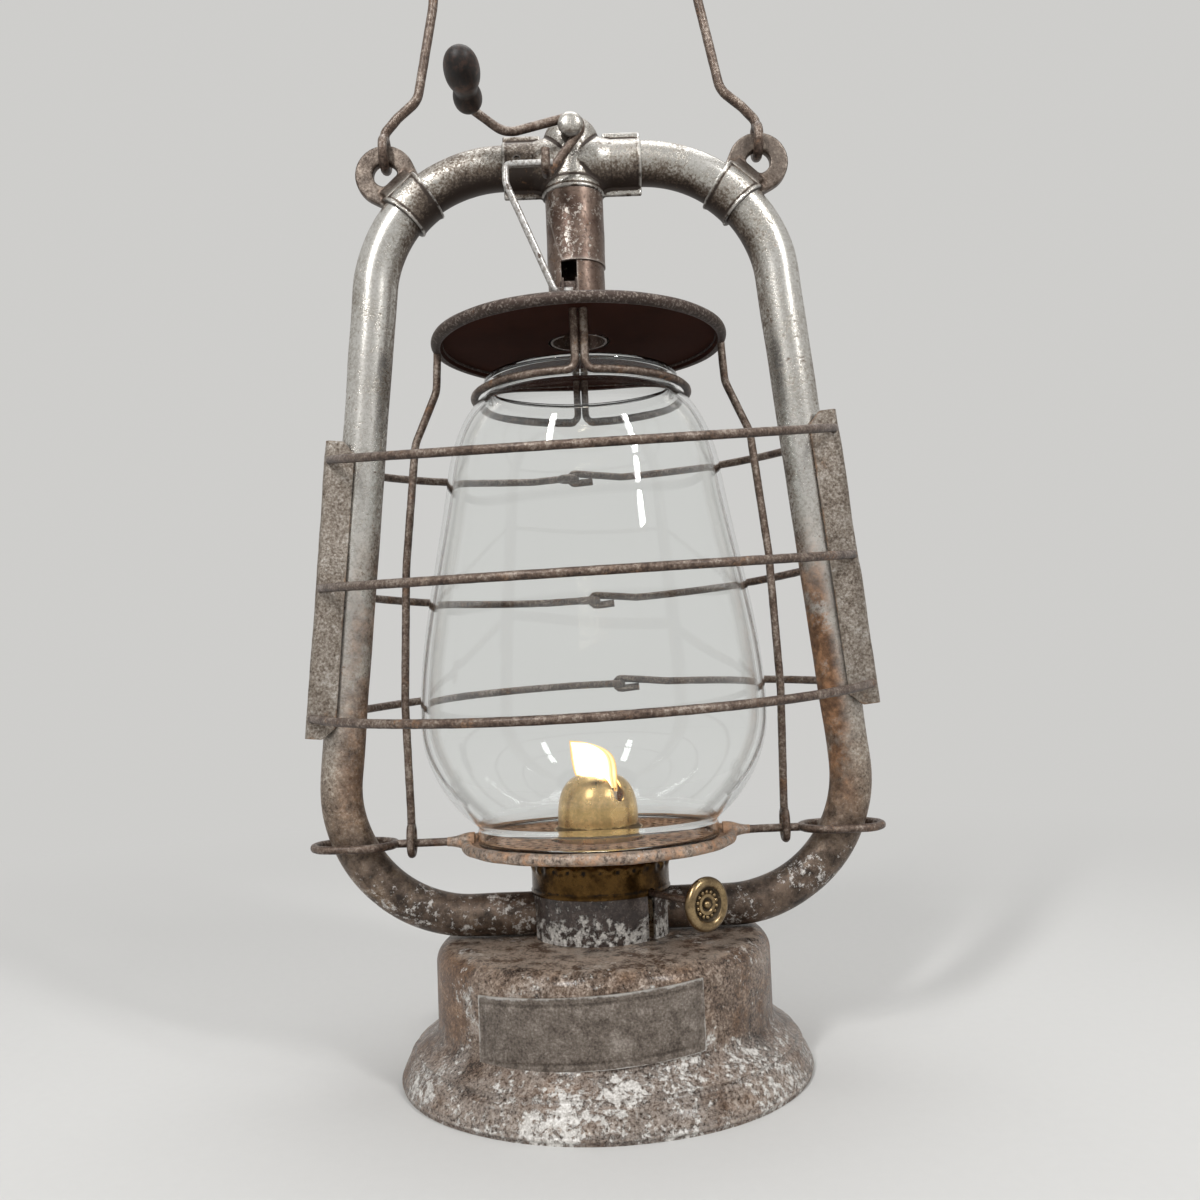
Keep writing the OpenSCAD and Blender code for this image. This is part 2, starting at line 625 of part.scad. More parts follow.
tee_seat = 3;
chimney_top = tube_top_z - tee_neck + tee_seat;
slot_x = -2.5;
module chimney_tube() color(rust) difference() {
  translate([0, 0, hood_z]) cylinder(h = chimney_top - hood_z, r = chimney_r);
  translate([0, 0, hood_z - 1]) cylinder(h = chimney_top - hood_z + 2, r = chimney_r - sheet_t);
  translate([slot_x - slot_w / 2, -2 * chimney_r, hood_z - 1]) cube([slot_w, 2 * chimney_r, slot_h + 1]);
}

// Ears and bail

strap_t = 1;
strap_r = tube_top_d / 2 + seat_gap + strap_t;
ear_mid = bend_top_r + ear_out;
strap_span = strap_w / bend_top_r * 180 / PI;
strap_bead = 0.6;
bead_span = 1.4 / bend_top_r * 180 / PI;
ear_rim = 2.6;
ear_raise = 0.6;
pivot_up_ear = (ear_r + ear_hole_d / 2) / 2;
bail_pivot = [bend_top_c.x + ear_mid * sin(ear_at), 0, bend_top_c.y + ear_mid * cos(ear_at) + pivot_up_ear];

// Places things in the plane of the tube's upper bend, +X outwards at the ear's angle and +Z to the back
module at_ear() translate([bend_top_c.x, 0, bend_top_c.y]) rotate([90, 0, 0]) rotate([0, 0, 90 - ear_at])
  mirror([0, 0, 1]) children();
module right_ear() color(tin) at_ear() difference() {
  base = strap_w / 2;
  pinch = strap_r - 3;
  saddle_low = strap_r - 2;
  saddle_top = strap_r + 3.4;
  saddle_half = ear_t / 2 + 0.2;
  saddle_w = strap_w - 0.8;
  rim_face = ear_t / 2 + ear_raise;
  rim_in = ear_r - ear_rim;
  union() {
    rotate([0, 0, -strap_span / 2]) rotate_extrude(angle = strap_span, $fn = 120) translate([bend_top_r, 0])
      circle(r = strap_r);
    for (end = [-1, 1]) rotate([0, 0, end * (strap_span - bead_span) / 2 - bead_span / 2])
      rotate_extrude(angle = bead_span, $fn = 120) translate([bend_top_r, 0])
        circle(r = strap_r + strap_bead);
    translate([ear_mid, 0, 0]) rotate_extrude() polygon([
      [rim_in, -saddle_half], [rim_in + ear_raise, -rim_face], [ear_r - ear_raise, -rim_face],
      [ear_r, -ear_t / 2], [ear_r, ear_t / 2], [ear_r - ear_raise, rim_face], [rim_in + ear_raise, rim_face],
      [rim_in, saddle_half]
    ]);
    linear_extrude(ear_t, center = true) {
      translate([ear_mid, 0]) circle(r = ear_r);
      polygon([[bend_top_r, -base], [bend_top_r, base],
        [ear_mid - 3, ear_r - 0.6], [ear_mid - 3, 0.6 - ear_r]]);
    }
    translate([bend_top_r, saddle_w / 2, 0]) rotate([90, 0, 0]) linear_extrude(saddle_w)
      polygon([[pinch / 2, -pinch], [saddle_low, -pinch], [saddle_top, -saddle_half],
        [saddle_top, saddle_half], [saddle_low, pinch], [pinch / 2, pinch]]);
  }
  rotate([0, 0, -strap_span]) rotate_extrude(angle = 2 * strap_span, $fn = 120) translate([bend_top_r, 0])
    circle(r = tube_top_d / 2 + seat_gap);
  translate([ear_mid, 0, 0]) cylinder(h = 4 * ear_t, d = ear_hole_d, center = true);
}
module left_ear() color(tin) mirror_x() right_ear();

eye_r = 5.5;
bail_top = bail_pivot.z + bail_h;
bail_knee = [-4.8, 0, 13.4];
bail_kink = [-12.4, 0, 20];
bail_waist_h = 56;
bail_spread = 1.5;
bail_neck_h = 1.4;
bail_side = [
  bail_pivot + [0, 0, eye_r + bail_neck_h], bail_pivot + [-0.4, 0, eye_r + 2 * bail_neck_h],
  bail_pivot + bail_knee, bail_pivot + bail_kink, [bail_x + bail_spread, 0, bail_pivot.z + bail_waist_h],
  [bail_x - bail_spread, 0, bail_top]
];
bail_bends = [2.5, 7, 9, 40, 42];
// The eye starts at its top, turns once round the ear in its own plane and meets its start again
bail_eye = circle_path(bail_pivot, eye_r, [0, 0, 1], [0, 1, 0], 0, 360, 20);
module bail() color(rust) {
  half = concat(bail_side, flip(mirrored(bail_side)));
  ends = concat([bail_pivot + [0, 0, eye_r]], half, mirrored([bail_pivot + [0, 0, eye_r]]));
  wire(rounded_path(ends, concat([1], bail_bends, flip(bail_bends), [1])), bail_d, 10);
  for (eye = [bail_eye, mirrored(bail_eye)]) wire_loop(eye, bail_d, 10);
}

// Crank and lift rod

eye_line_r = pin_r + pin_gap + crank_d / 2;
pivot = [0, -crank_y, pivot_z];
lever_low = [-22.8, 0, -1.7];
hook_at = crank_r * [-sin(crank_rest), 0, -cos(crank_rest)];
lever_tangent = atan2(lever_low.z, lever_low.x) + 360 - acos(eye_line_r / norm(lever_low));
hook_tangent = atan2(hook_at.z, hook_at.x) + 360 + acos(eye_line_r / norm(hook_at));
eye_half_turn = (lever_tangent + 360 - hook_tangent) / 2;
eye_middle = (lever_tangent + hook_tangent - 360) / 2;
eye_corner = eye_line_r / cos(eye_half_turn) * [cos(eye_middle), 0, sin(eye_middle)];
hook_room = 7.6;
hook_tip = 6.4;
crank_bend = 2.4;
lever_bend = 9;
grip_axis = [-grip_out, 0, grip_up];
grip_start = crank_d / 2 + 1.6;
grip_bore = grip_h - 3.5;
module lift_crank() color([0.3, 0.24, 0.2]) translate(pivot) wire(rounded_path([
  grip_axis + [0, -grip_start - grip_bore + 0.4, 0], grip_axis, lever_low, eye_corner, hook_at,
  hook_at + [0, -hook_room, 0], hook_at + [0, -hook_room, hook_tip]
], [crank_bend, lever_bend, eye_line_r, crank_bend, crank_bend]), crank_d, 10);

pin_head_r = pin_r + 2.5;
pin_head_h = 2.6;
pin_foot_r = pin_r + 1.6;
pin_foot = tee_r + 0.15;
pin_start = tee_r - tee_t - 1;
pin_shoulder = crank_y - crank_d / 2 - seat_gap;
pin_face = crank_y + crank_d / 2 + seat_gap;
module crank_pin() color(tin) at_front(pivot_z) rotate_extrude() polygon(joined([
  [[0, pin_start], [pin_r, pin_start], [pin_r, pin_foot], [pin_foot_r, pin_foot],
    [pin_foot_r, pin_shoulder], [pin_r, pin_shoulder], [pin_r, pin_face], [pin_head_r, pin_face]],
  cubic([pin_head_r, pin_face + 0.6], [pin_head_r - 0.6, pin_face + 0.8 * pin_head_h],
    [pin_head_r / 2, pin_face + pin_head_h], [0, pin_face + pin_head_h])
]));

module crank_grip() color([0.12, 0.1, 0.09])
  translate(pivot + grip_axis + [0, -grip_start, 0]) rotate([90, 0, 0])
  difference() {
    big = grip_d / 2;
    bead = 0.42 * grip_d;
    waist = 0.33 * grip_d;
    rotate_extrude() polygon(joined([
      [[0, 0]],
      cubic([0.3 * grip_d, 0], [bead + 0.4, 0], [bead + 0.4, 0.2 * grip_h], [waist, 0.29 * grip_h]),
      cubic([waist, 0.29 * grip_h], [waist, 0.42 * grip_h], [big, 0.46 * grip_h], [big, 0.68 * grip_h]),
      cubic([big, 0.68 * grip_h], [big, 0.88 * grip_h], [0.7 * big, grip_h], [0, grip_h])
    ]));
    translate([0, 0, -1]) cylinder(h = grip_bore + 1, r = crank_d / 2 + pin_gap);
  }

rod_r = rod_d / 2;
bar_z = pivot_z + hook_at.z + crank_d / 2 + rod_r + slide_gap;
bar_y = -crank_y - hook_room / 2;
bar_left = -crank_r - crank_d / 2 - rod_r - 0.5;
bar_right = -6.6;
bar_drop = 6.6;
bracket_wall = 0.8;
bracket_front = 4.6;
bracket_h = 17;
rod_eye_down = 4;
rod_eye_z = hood_top + bracket_h - rod_eye_down;
bracket_back = -hood_collar_r - sheet_t - hood_fillet - seat_gap;
rod_eye_y = bracket_back - bracket_front / 2;
bracket_left = slot_x - slot_w / 2;
module lift_rod() color(tin) wire(rounded_path([
  [bar_right, bar_y, bar_z], [bar_left, bar_y, bar_z], [bar_left, bar_y, bar_z - bar_drop],
  [bracket_left - 2.4, rod_eye_y, rod_eye_z], [bracket_left + slot_w - 1.6, rod_eye_y, rod_eye_z]
], [2, 4, 2]), rod_d);

// Folded bracket: two walls and a foot that stands on the hood, with a hole for the rod
module rod_bracket() color(rust) difference() {
  translate([bracket_left, bracket_back - bracket_front, hood_top]) difference() {
    cube([slot_w, bracket_front, bracket_h]);
    translate([bracket_wall, -1, bracket_wall])
      cube([slot_w - 2 * bracket_wall, bracket_front - bracket_wall + 1, bracket_h]);
  }
  translate([bracket_left - 1, rod_eye_y, rod_eye_z]) rotate([0, 90, 0])
    cylinder(h = bracket_wall + 2, r = rod_r + seat_gap);
}

// Globe carriage

rim_r = hood_rim_d / 2;
rim_line_r = hood_d / 2 - rim_r;
rim_z = hood_z - 0.4;
rim_start = 170;
rim_end = 480;
side_wire_top_x = rim_line_r + 0.2;
hood_flat_r = rim_line_r - 4;
collar_out_r = hood_collar_r + sheet_t;
collar_lip = 0.6;
hood_collar_top = hood_top + hood_collar_h;
module hood() color(rust) difference() {
  rotate_extrude() polygon(joined([
    [[hood_collar_r, hood_z], [hood_flat_r, hood_z], [rim_line_r - rim_r * 0.9, rim_z + rim_r * 0.2]],
    arc([rim_line_r, rim_z], rim_r, rim_start, rim_end, 16),
    [[hood_flat_r - sheet_t / 2, hood_top], [collar_out_r + hood_fillet, hood_top],
      [collar_out_r, hood_top + hood_fillet], [collar_out_r, hood_collar_top - collar_lip],
      [collar_out_r + collar_lip, hood_collar_top], [hood_collar_r, hood_collar_top]]
  ]));
  for (s = [-1, 1]) translate([s * side_wire_top_x, 0, rim_z - 2 * rim_r])
    cylinder(h = 2 * rim_r, d = wire_d + 2 * seat_gap);
}

// Outline of the globe from its foot up, outside
globe_belly_z = globe_z + globe_belly_h;
globe_neck_h = 6.5;
globe_foot_h = 6.5;
globe_shoulder = [globe_neck_r + 13.8, globe_top - 35.5];
globe_line = joined([
  [[globe_foot_r - 0.6, globe_z], [globe_foot_r, globe_z + 0.6]],
  cubic([globe_foot_r, globe_z + globe_foot_h], [globe_foot_r + 9.5, globe_z + globe_foot_h + 7.5],
    [globe_belly_r, globe_belly_z - 16], [globe_belly_r, globe_belly_z]),
  cubic([globe_belly_r, globe_belly_z + 1], [globe_belly_r, globe_belly_z + 29],
    [globe_shoulder.x + 3.4, globe_shoulder.y - 25], globe_shoulder),
  cubic([globe_shoulder.x - 0.14, globe_shoulder.y + 1], [globe_shoulder.x - 2, globe_shoulder.y + 14],
    [globe_neck_r + 6.6, globe_top - 11.5], [globe_neck_r, globe_top - globe_neck_h]),
  [[globe_neck_r, globe_top - 0.8], [globe_neck_r - 0.5, globe_top]]
]);
module globe() color([0.8, 0.86, 0.88, 0.4])
  rotate_extrude($fn = 96) polygon(concat(globe_line, flip(sideways(globe_line, glass_t))));

// Half ring of wire on the globe's shoulder, both ends turned up to the hood
ring_line_r = globe_neck_r + 3.4;
globe_ring_z = globe_top - globe_neck_h - 0.1;
prong_r = 3;
prong_x = wire_d / 2 + 0.15;
prong_a = asin((prong_x + prong_r) / ring_line_r);
prong = ring_line_r * [-sin(prong_a), -cos(prong_a), 0] + prong_r * [cos(prong_a), -sin(prong_a), 0];
function to_back(pts) = [for (p = pts) [p.x, -p.y, p.z]];
module left_globe_ring() color(rust) {
  start = ring_line_r * [-sin(prong_a), -cos(prong_a), 0] + [0, 0, globe_ring_z];
  upturn = bend_points(prong + [0, 0, hood_z], prong + [0, 0, globe_ring_z], start, prong_r);
  round_way = circle_path([0, 0, globe_ring_z], ring_line_r, [0, -1, 0], [-1, 0, 0],
    prong_a, 180 - prong_a, 20);
  half = concat([prong + [0, 0, hood_z]], upturn);
  middle = [for (i = [1:len(round_way) - 2]) round_way[i]];
  wire(concat(half, middle, to_back(flip(half))), wire_d);
}
module right_globe_ring() color(rust) mirror_x() left_globe_ring();

guide_z = plate_top + plate_t / 2;
side_eye_r = wire_d + 0.4;
side_wire_x = 65.3;
side_eye_rise = 3;
side_eye_top = guide_z + side_eye_rise;
side_bends = [12, 14, 80, 120, 6];
module right_side_wire() color(rust) {
  belly = globe_belly_r + 6;
  wire(rounded_path([
    [side_wire_top_x, 0, rim_z - 0.2], [side_wire_top_x + 0.8, 0, hood_z - 16],
    [globe_shoulder.x + 11.5, 0, hood_z - 35], [globe_shoulder.x + 16, 0, hood_z - 79],
    [belly, 0, globe_belly_z + 6],
    [side_wire_x, 0, side_eye_top + side_eye_r + side_eye_rise], [side_wire_x, 0, side_eye_top + side_eye_r]
  ], side_bends), wire_d);
  wire_loop(concat(
    circle_path([side_wire_x, 0, side_eye_top], side_eye_r, [0, 1, 0], [0, 0, 1], 0, 180, 10),
    circle_path([side_wire_x, 0, guide_z - 0.6], side_eye_r, [0, -1, 0], [0, 0, -1], 0, 180, 10),
    [[side_wire_x, side_eye_r, side_eye_top]]), wire_d);
}
module left_side_wire() color(rust) mirror_x() right_side_wire();

// Pierced plate under the globe, with a rolled rim and a socket at each side for a guide rod
plate_r = plate_d / 2;
plate_roll = 1.9;
socket_r = wire_d / 2 + seat_gap + 0.5;
socket_out = 5.5;
hole_rings = [22, 27, 32, 37];
hole_pitch = 10;
hole_r = 0.9;
module globe_plate() color(rust) difference() {
  roll = [plate_r - plate_roll, plate_z + plate_t / 2];
  union() {
    rotate_extrude() polygon(joined([
      [[plate_hole_d / 2, plate_z], [roll.x - plate_roll, plate_z]],
      arc(roll, plate_roll, -155, 155, 16),
      [[roll.x - plate_roll, plate_top], [plate_hole_d / 2, plate_top]]
    ]));
    for (s = [-1, 1]) translate([s * (roll.x + 0.4), 0, guide_z]) rotate([0, s * 90, 0])
      cylinder(h = socket_out, r1 = socket_r + 1, r2 = socket_r);
  }
  for (s = [-1, 1]) translate([s * (plate_r + 0.4), 0, guide_z]) rotate([0, s * 90, 0])
    cylinder(h = socket_out + 1, r = wire_d / 2 + seat_gap);
  for (r = hole_rings) {
    holes = floor(2 * PI * r / hole_pitch);
    for (i = [1:holes]) rotate([0, 0, i * 360 / holes]) translate([r, 0, plate_z - 1])
      cylinder(h = plate_t + 2, r = hole_r, $fn = 8);
  }
}
module right_guide_loop() color(rust) {
  wire([[plate_r + 0.6, 0, guide_z], [loop_in, 0, guide_z]], wire_d);
  wire_loop(concat(
    circle_path([loop_out - loop_y, 0, guide_z], loop_y, [0, -1, 0], [1, 0, 0], 0, 180, 12),
    circle_path([loop_in + loop_y, 0, guide_z], loop_y, [0, 1, 0], [-1, 0, 0], 0, 180, 12),
    [[loop_out - loop_y, -loop_y, guide_z]]), wire_d);
}
module left_guide_loop() color(rust) mirror_x() right_guide_loop();

// Guard plates and wires

guard_t = 1;
guard_wire_out = guard_out - 2.6;
guard_half = tube_r(guard_z + guard_h / 2) + seat_gap;
guard_edge = 1.6;
guard_corner = 2.4;
guard_cut = 6;
function guard_outline(r, half, out) = joined([
  [[guard_edge, half]], arc([out - r, half - r], r, 90, 0, 4),
  arc([out - r, r - half], r, 0, -90, 4), [[guard_edge, -half]]
]);
// Places things on the straight side of the right tube at height z: +X outwards, +Z up along the tube
module on_tube(z) translate([tube_x(z), 0, z]) rotate([0, -tube_slope, 0]) children();
module guard_plate(z) on_tube(z) difference() {
  linear_extrude(guard_h, center = true) polygon(concat(
    guard_outline(guard_corner, guard_half + guard_t, guard_out),
    flip(guard_outline(guard_corner - guard_t, guard_half, guard_out - guard_t))));
  for (i = [-1:1]) translate([guard_wire_out, 0, i * guard_pitch]) rotate([90, 0, 0])
    cylinder(h = 4 * guard_half, d = guard_d + 2 * seat_gap, center = true);
  for (end = [-1, 1]) translate([guard_edge, 0, end * guard_h / 2]) rotate([0, 45, 0])
    cube([guard_cut, 4 * guard_half, guard_cut], center = true);
}
module right_guard_plate() color(rust) guard_plate(guard_z);
module left_guard_plate() color(rust) mirror_x() guard_plate(guard_z - left_drop);

// Middle of a wire's hole beside a tube, for a plate at height z
function guard_hole(i, z) = [
  tube_x(z) + guard_wire_out * cos(tube_slope) - i * guard_pitch * sin(tube_slope),
  z + i * guard_pitch * cos(tube_slope) + guard_wire_out * sin(tube_slope)
];
guard_lead = 20;
guard_through = guard_half + guard_t + 1;
link_r = 3.4;
link_in = 0.9 * link_r;

// One guard wire, in at a plate, round the front, out at the other plate and hooked together behind
// It droops in front, and its link behind is off to one side and higher or lower
module guard_wire(i, droop, rise, aside) color(rust) {
  right_hole = guard_hole(i, guard_z);
  left_hole = guard_hole(i, guard_z - left_drop);
  x = (right_hole[0] + left_hole[0]) / 2;
  z = (right_hole[1] + left_hole[1]) / 2;
  reach = x / tan(guard_lead);
  arc_r = (reach + guard_through - guard_front) / (1 / sin(guard_lead) - 1);
  share = reach / (guard_front - guard_through);
  right = [right_hole[0], -guard_through, right_hole[1]];
  left = [-left_hole[0], -guard_through, left_hole[1]];
  front = [0, -guard_through - reach, z - droop * share];
  back = [0, guard_through + reach, z + rise * share];
  link = [aside, guard_front - link_r, z + rise];
  back_path = rounded_path(concat(to_back([right]), [back], to_back([left])), arc_r);
  link_end = [link_r + link_in, 0, 0];
  right_end = concat([for (p = back_path) if (p.x > aside + 5 * link_r) p], [link + link_end]);
  left_end = concat([link - link_end], [for (p = back_path) if (p.x < aside - 5 * link_r) p]);
  wire(concat(left_end, rounded_path([left, front, right], arc_r), right_end), guard_d);
  wire_loop(circle_path(link + [link_in, 0, 0], link_r, [1, 0, 0], [0, 0, 1], 0, 360), guard_d);
  wire_loop(circle_path(link - [link_in, 0, 0], link_r, [-1, 0, 0], [0, 1, 0], 0, 360), guard_d);
}
upper_droop = 12.3;
upper_rise = 1;
upper_aside = -4;
middle_droop = 5.5;
middle_rise = -5;
middle_aside = 3;
lower_droop = 3.5;
lower_rise = 5.2;
lower_aside = 12;
module guard_wire_upper() guard_wire(1, upper_droop, upper_rise, upper_aside);
module guard_wire_middle() guard_wire(0, middle_droop, middle_rise, middle_aside);
module guard_wire_lower() guard_wire(-1, lower_droop, lower_rise, lower_aside);

fount_shell();
fount_bottom();
blank_plate();
filler_neck();
filler_cap();
filler_seal();
burner_collar();
burner_ring();
burner_cone();
wick_tube();
wick();
wick_shaft();
wick_knob();
left_tube();
right_tube();
tee_front();
tee_rear();
chimney_tube();
left_ear();
right_ear();
bail();
crank_pin();
lift_crank();
crank_grip();
lift_rod();
rod_bracket();
hood();
left_globe_ring();
right_globe_ring();
left_side_wire();
right_side_wire();
globe();
globe_plate();
left_guide_loop();
right_guide_loop();
left_guard_plate();
right_guard_plate();
guard_wire_upper();
guard_wire_middle();
guard_wire_lower();
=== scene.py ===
"""A hurricane lantern in worn tinned steel, rusted wire, aged brass and clear glass, with its flame."""

import json
import math

import bmesh
import bpy
import numpy as np
from bpy.props import FloatProperty, FloatVectorProperty, IntProperty, PointerProperty
from mathutils import Matrix, Vector, noise


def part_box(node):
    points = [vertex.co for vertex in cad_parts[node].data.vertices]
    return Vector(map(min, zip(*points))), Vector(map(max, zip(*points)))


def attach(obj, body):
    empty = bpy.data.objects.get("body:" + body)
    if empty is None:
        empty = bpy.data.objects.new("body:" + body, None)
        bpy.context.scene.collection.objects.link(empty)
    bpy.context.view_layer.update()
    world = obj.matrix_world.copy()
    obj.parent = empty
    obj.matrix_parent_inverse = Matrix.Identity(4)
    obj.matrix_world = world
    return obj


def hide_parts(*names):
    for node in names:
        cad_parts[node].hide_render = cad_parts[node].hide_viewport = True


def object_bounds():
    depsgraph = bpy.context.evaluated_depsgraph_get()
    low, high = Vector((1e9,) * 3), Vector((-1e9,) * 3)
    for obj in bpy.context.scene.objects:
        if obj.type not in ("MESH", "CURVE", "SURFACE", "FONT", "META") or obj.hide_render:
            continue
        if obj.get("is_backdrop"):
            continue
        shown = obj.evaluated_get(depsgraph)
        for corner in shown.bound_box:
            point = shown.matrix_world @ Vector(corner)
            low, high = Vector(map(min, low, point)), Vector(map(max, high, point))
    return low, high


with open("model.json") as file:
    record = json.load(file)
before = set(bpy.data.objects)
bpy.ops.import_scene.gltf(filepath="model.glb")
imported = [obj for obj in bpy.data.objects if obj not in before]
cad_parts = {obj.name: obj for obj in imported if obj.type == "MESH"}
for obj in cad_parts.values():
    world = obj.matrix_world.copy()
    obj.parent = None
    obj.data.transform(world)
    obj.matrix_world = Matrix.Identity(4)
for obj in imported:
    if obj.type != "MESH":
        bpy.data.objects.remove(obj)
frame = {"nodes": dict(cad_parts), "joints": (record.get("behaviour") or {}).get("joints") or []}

bl_info = {
    "name": "Hurricane lantern",
    "version": (1, 0, 0),
    "blender": (4, 5, 0),
    "location": "View3D > Sidebar > Lantern",
    "description": "Builds the looks of a hurricane lantern round its packed solids",
    "category": "Object",
}

MM = 0.001
UP = Vector((0, 0, 1))
CAD_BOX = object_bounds()
JOINTS = {joint["name"]: joint for joint in frame["joints"]}


# Places and sizes that follow from the frame, in millimetres

def low(node):
    """Lowest corner of a node's box, in millimetres."""
    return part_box(node)[0] / MM


def high(node):
    """Highest corner of a node's box, in millimetres."""
    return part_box(node)[1] / MM


def pivot(joint):
    """Point on a hinge's axis, in millimetres."""
    return Vector(JOINTS[joint]["pos_m"]) / MM


SEAT_GAP = 0.2
ROD_LIFT = 0.6
ROLL_DROP = 2.5
FOUNT_TOP = high("fount_shell").z
BASE_R = high("fount_shell").x
COLLAR_TOP = low("burner_ring").z
RING_R = high("burner_ring").x
PLATE_TOP = low("globe").z - SEAT_GAP
PLATE_R = high("globe_plate").y
ROD_Z = PLATE_TOP + ROD_LIFT
GLOBE_TOP = high("globe").z
HOOD_LOW = low("hood").z + ROLL_DROP
CRANK = pivot("crank_turn")
BAIL_Z = pivot("bail_swing").z


# Sizes of the wires and tubes, in millimetres, as the solids have them

TUBE_LOW_D, TUBE_TOP_D = 14.5, 16.0
TUBE_LOW_X, TUBE_TOP_X = 93.8, 68.6
TUBE_LOW_Z = FOUNT_TOP + TUBE_LOW_D / 2 + SEAT_GAP
PIN_RISE = 7
TUBE_TOP_Z = CRANK.z - PIN_RISE
BEND_LOW_R, BEND_TOP_R = 45.0, 48.0
TUBE_LOW_END, TUBE_TOP_END = 21.2, 13.0
CARRIAGE_D = 2.8
GUARD_D = 3.0
BAIL_D = 3.5
CRANK_D = 3.2
ROD_D = 2.5
TUBE_UP = (Vector((TUBE_TOP_X, 0, TUBE_TOP_Z)) - Vector((TUBE_LOW_X, 0, TUBE_LOW_Z))).normalized()
TUBE_OUT = Vector((TUBE_UP.z, 0, -TUBE_UP.x))


class LanternSizes(bpy.types.PropertyGroup):
    """Sizes that change the looks and leave the solids' places alone."""

    wire_step: FloatProperty(
        name="Wire step", description="Distance between the rings of a wire", default=0.0012, unit="LENGTH")
    wire_sides: IntProperty(name="Wire sides", description="Sides of a wire", default=14, min=6)
    wire_wobble: FloatProperty(
        name="Wire wobble", description="How far rust has eaten a wire out of round",
        default=0.00022, unit="LENGTH")
    lathe_steps: IntProperty(
        name="Lathe steps", description="Steps round a turned piece", default=160, min=24)
    dents: FloatProperty(
        name="Dents", description="Depth of the dents in the sheet metal", default=0.00025, unit="LENGTH")
    flame_height: FloatProperty(
        name="Flame height", description="Height of the flame above the dome", default=0.0118, unit="LENGTH")


class LanternColours(bpy.types.PropertyGroup):
    """Colours of the finishes."""

    tin: FloatVectorProperty(
        name="Tin", description="Bright worn tin", subtype="COLOR", default=(0.66, 0.645, 0.61))
    dull_tin: FloatVectorProperty(
        name="Dull tin", description="Tin gone grey", subtype="COLOR", default=(0.41, 0.385, 0.345))
    patina: FloatVectorProperty(
        name="Patina", description="Brown patina of the fount", subtype="COLOR",
        default=(0.125, 0.082, 0.057))
    flake: FloatVectorProperty(
        name="Flakes", description="Pale flakes of old tin", subtype="COLOR", default=(0.62, 0.59, 0.55))
    brass: FloatVectorProperty(
        name="Brass", description="Aged brass", subtype="COLOR", default=(0.88, 0.6, 0.27))
    wood: FloatVectorProperty(
        name="Wood", description="Blackened wood", subtype="COLOR", default=(0.012, 0.009, 0.008))
    glass: FloatVectorProperty(
        name="Glass", description="Clear glass", subtype="COLOR", default=(0.98, 0.99, 0.985))
    backdrop: FloatVectorProperty(
        name="Backdrop", description="Pale floor and backdrop", subtype="COLOR", default=(0.62, 0.615, 0.6))


def sizes():
    """The sizes set on the scene."""
    return bpy.context.scene.lantern_sizes


def colours():
    """The colours set on the scene."""
    return bpy.context.scene.lantern_colours


# Shader building

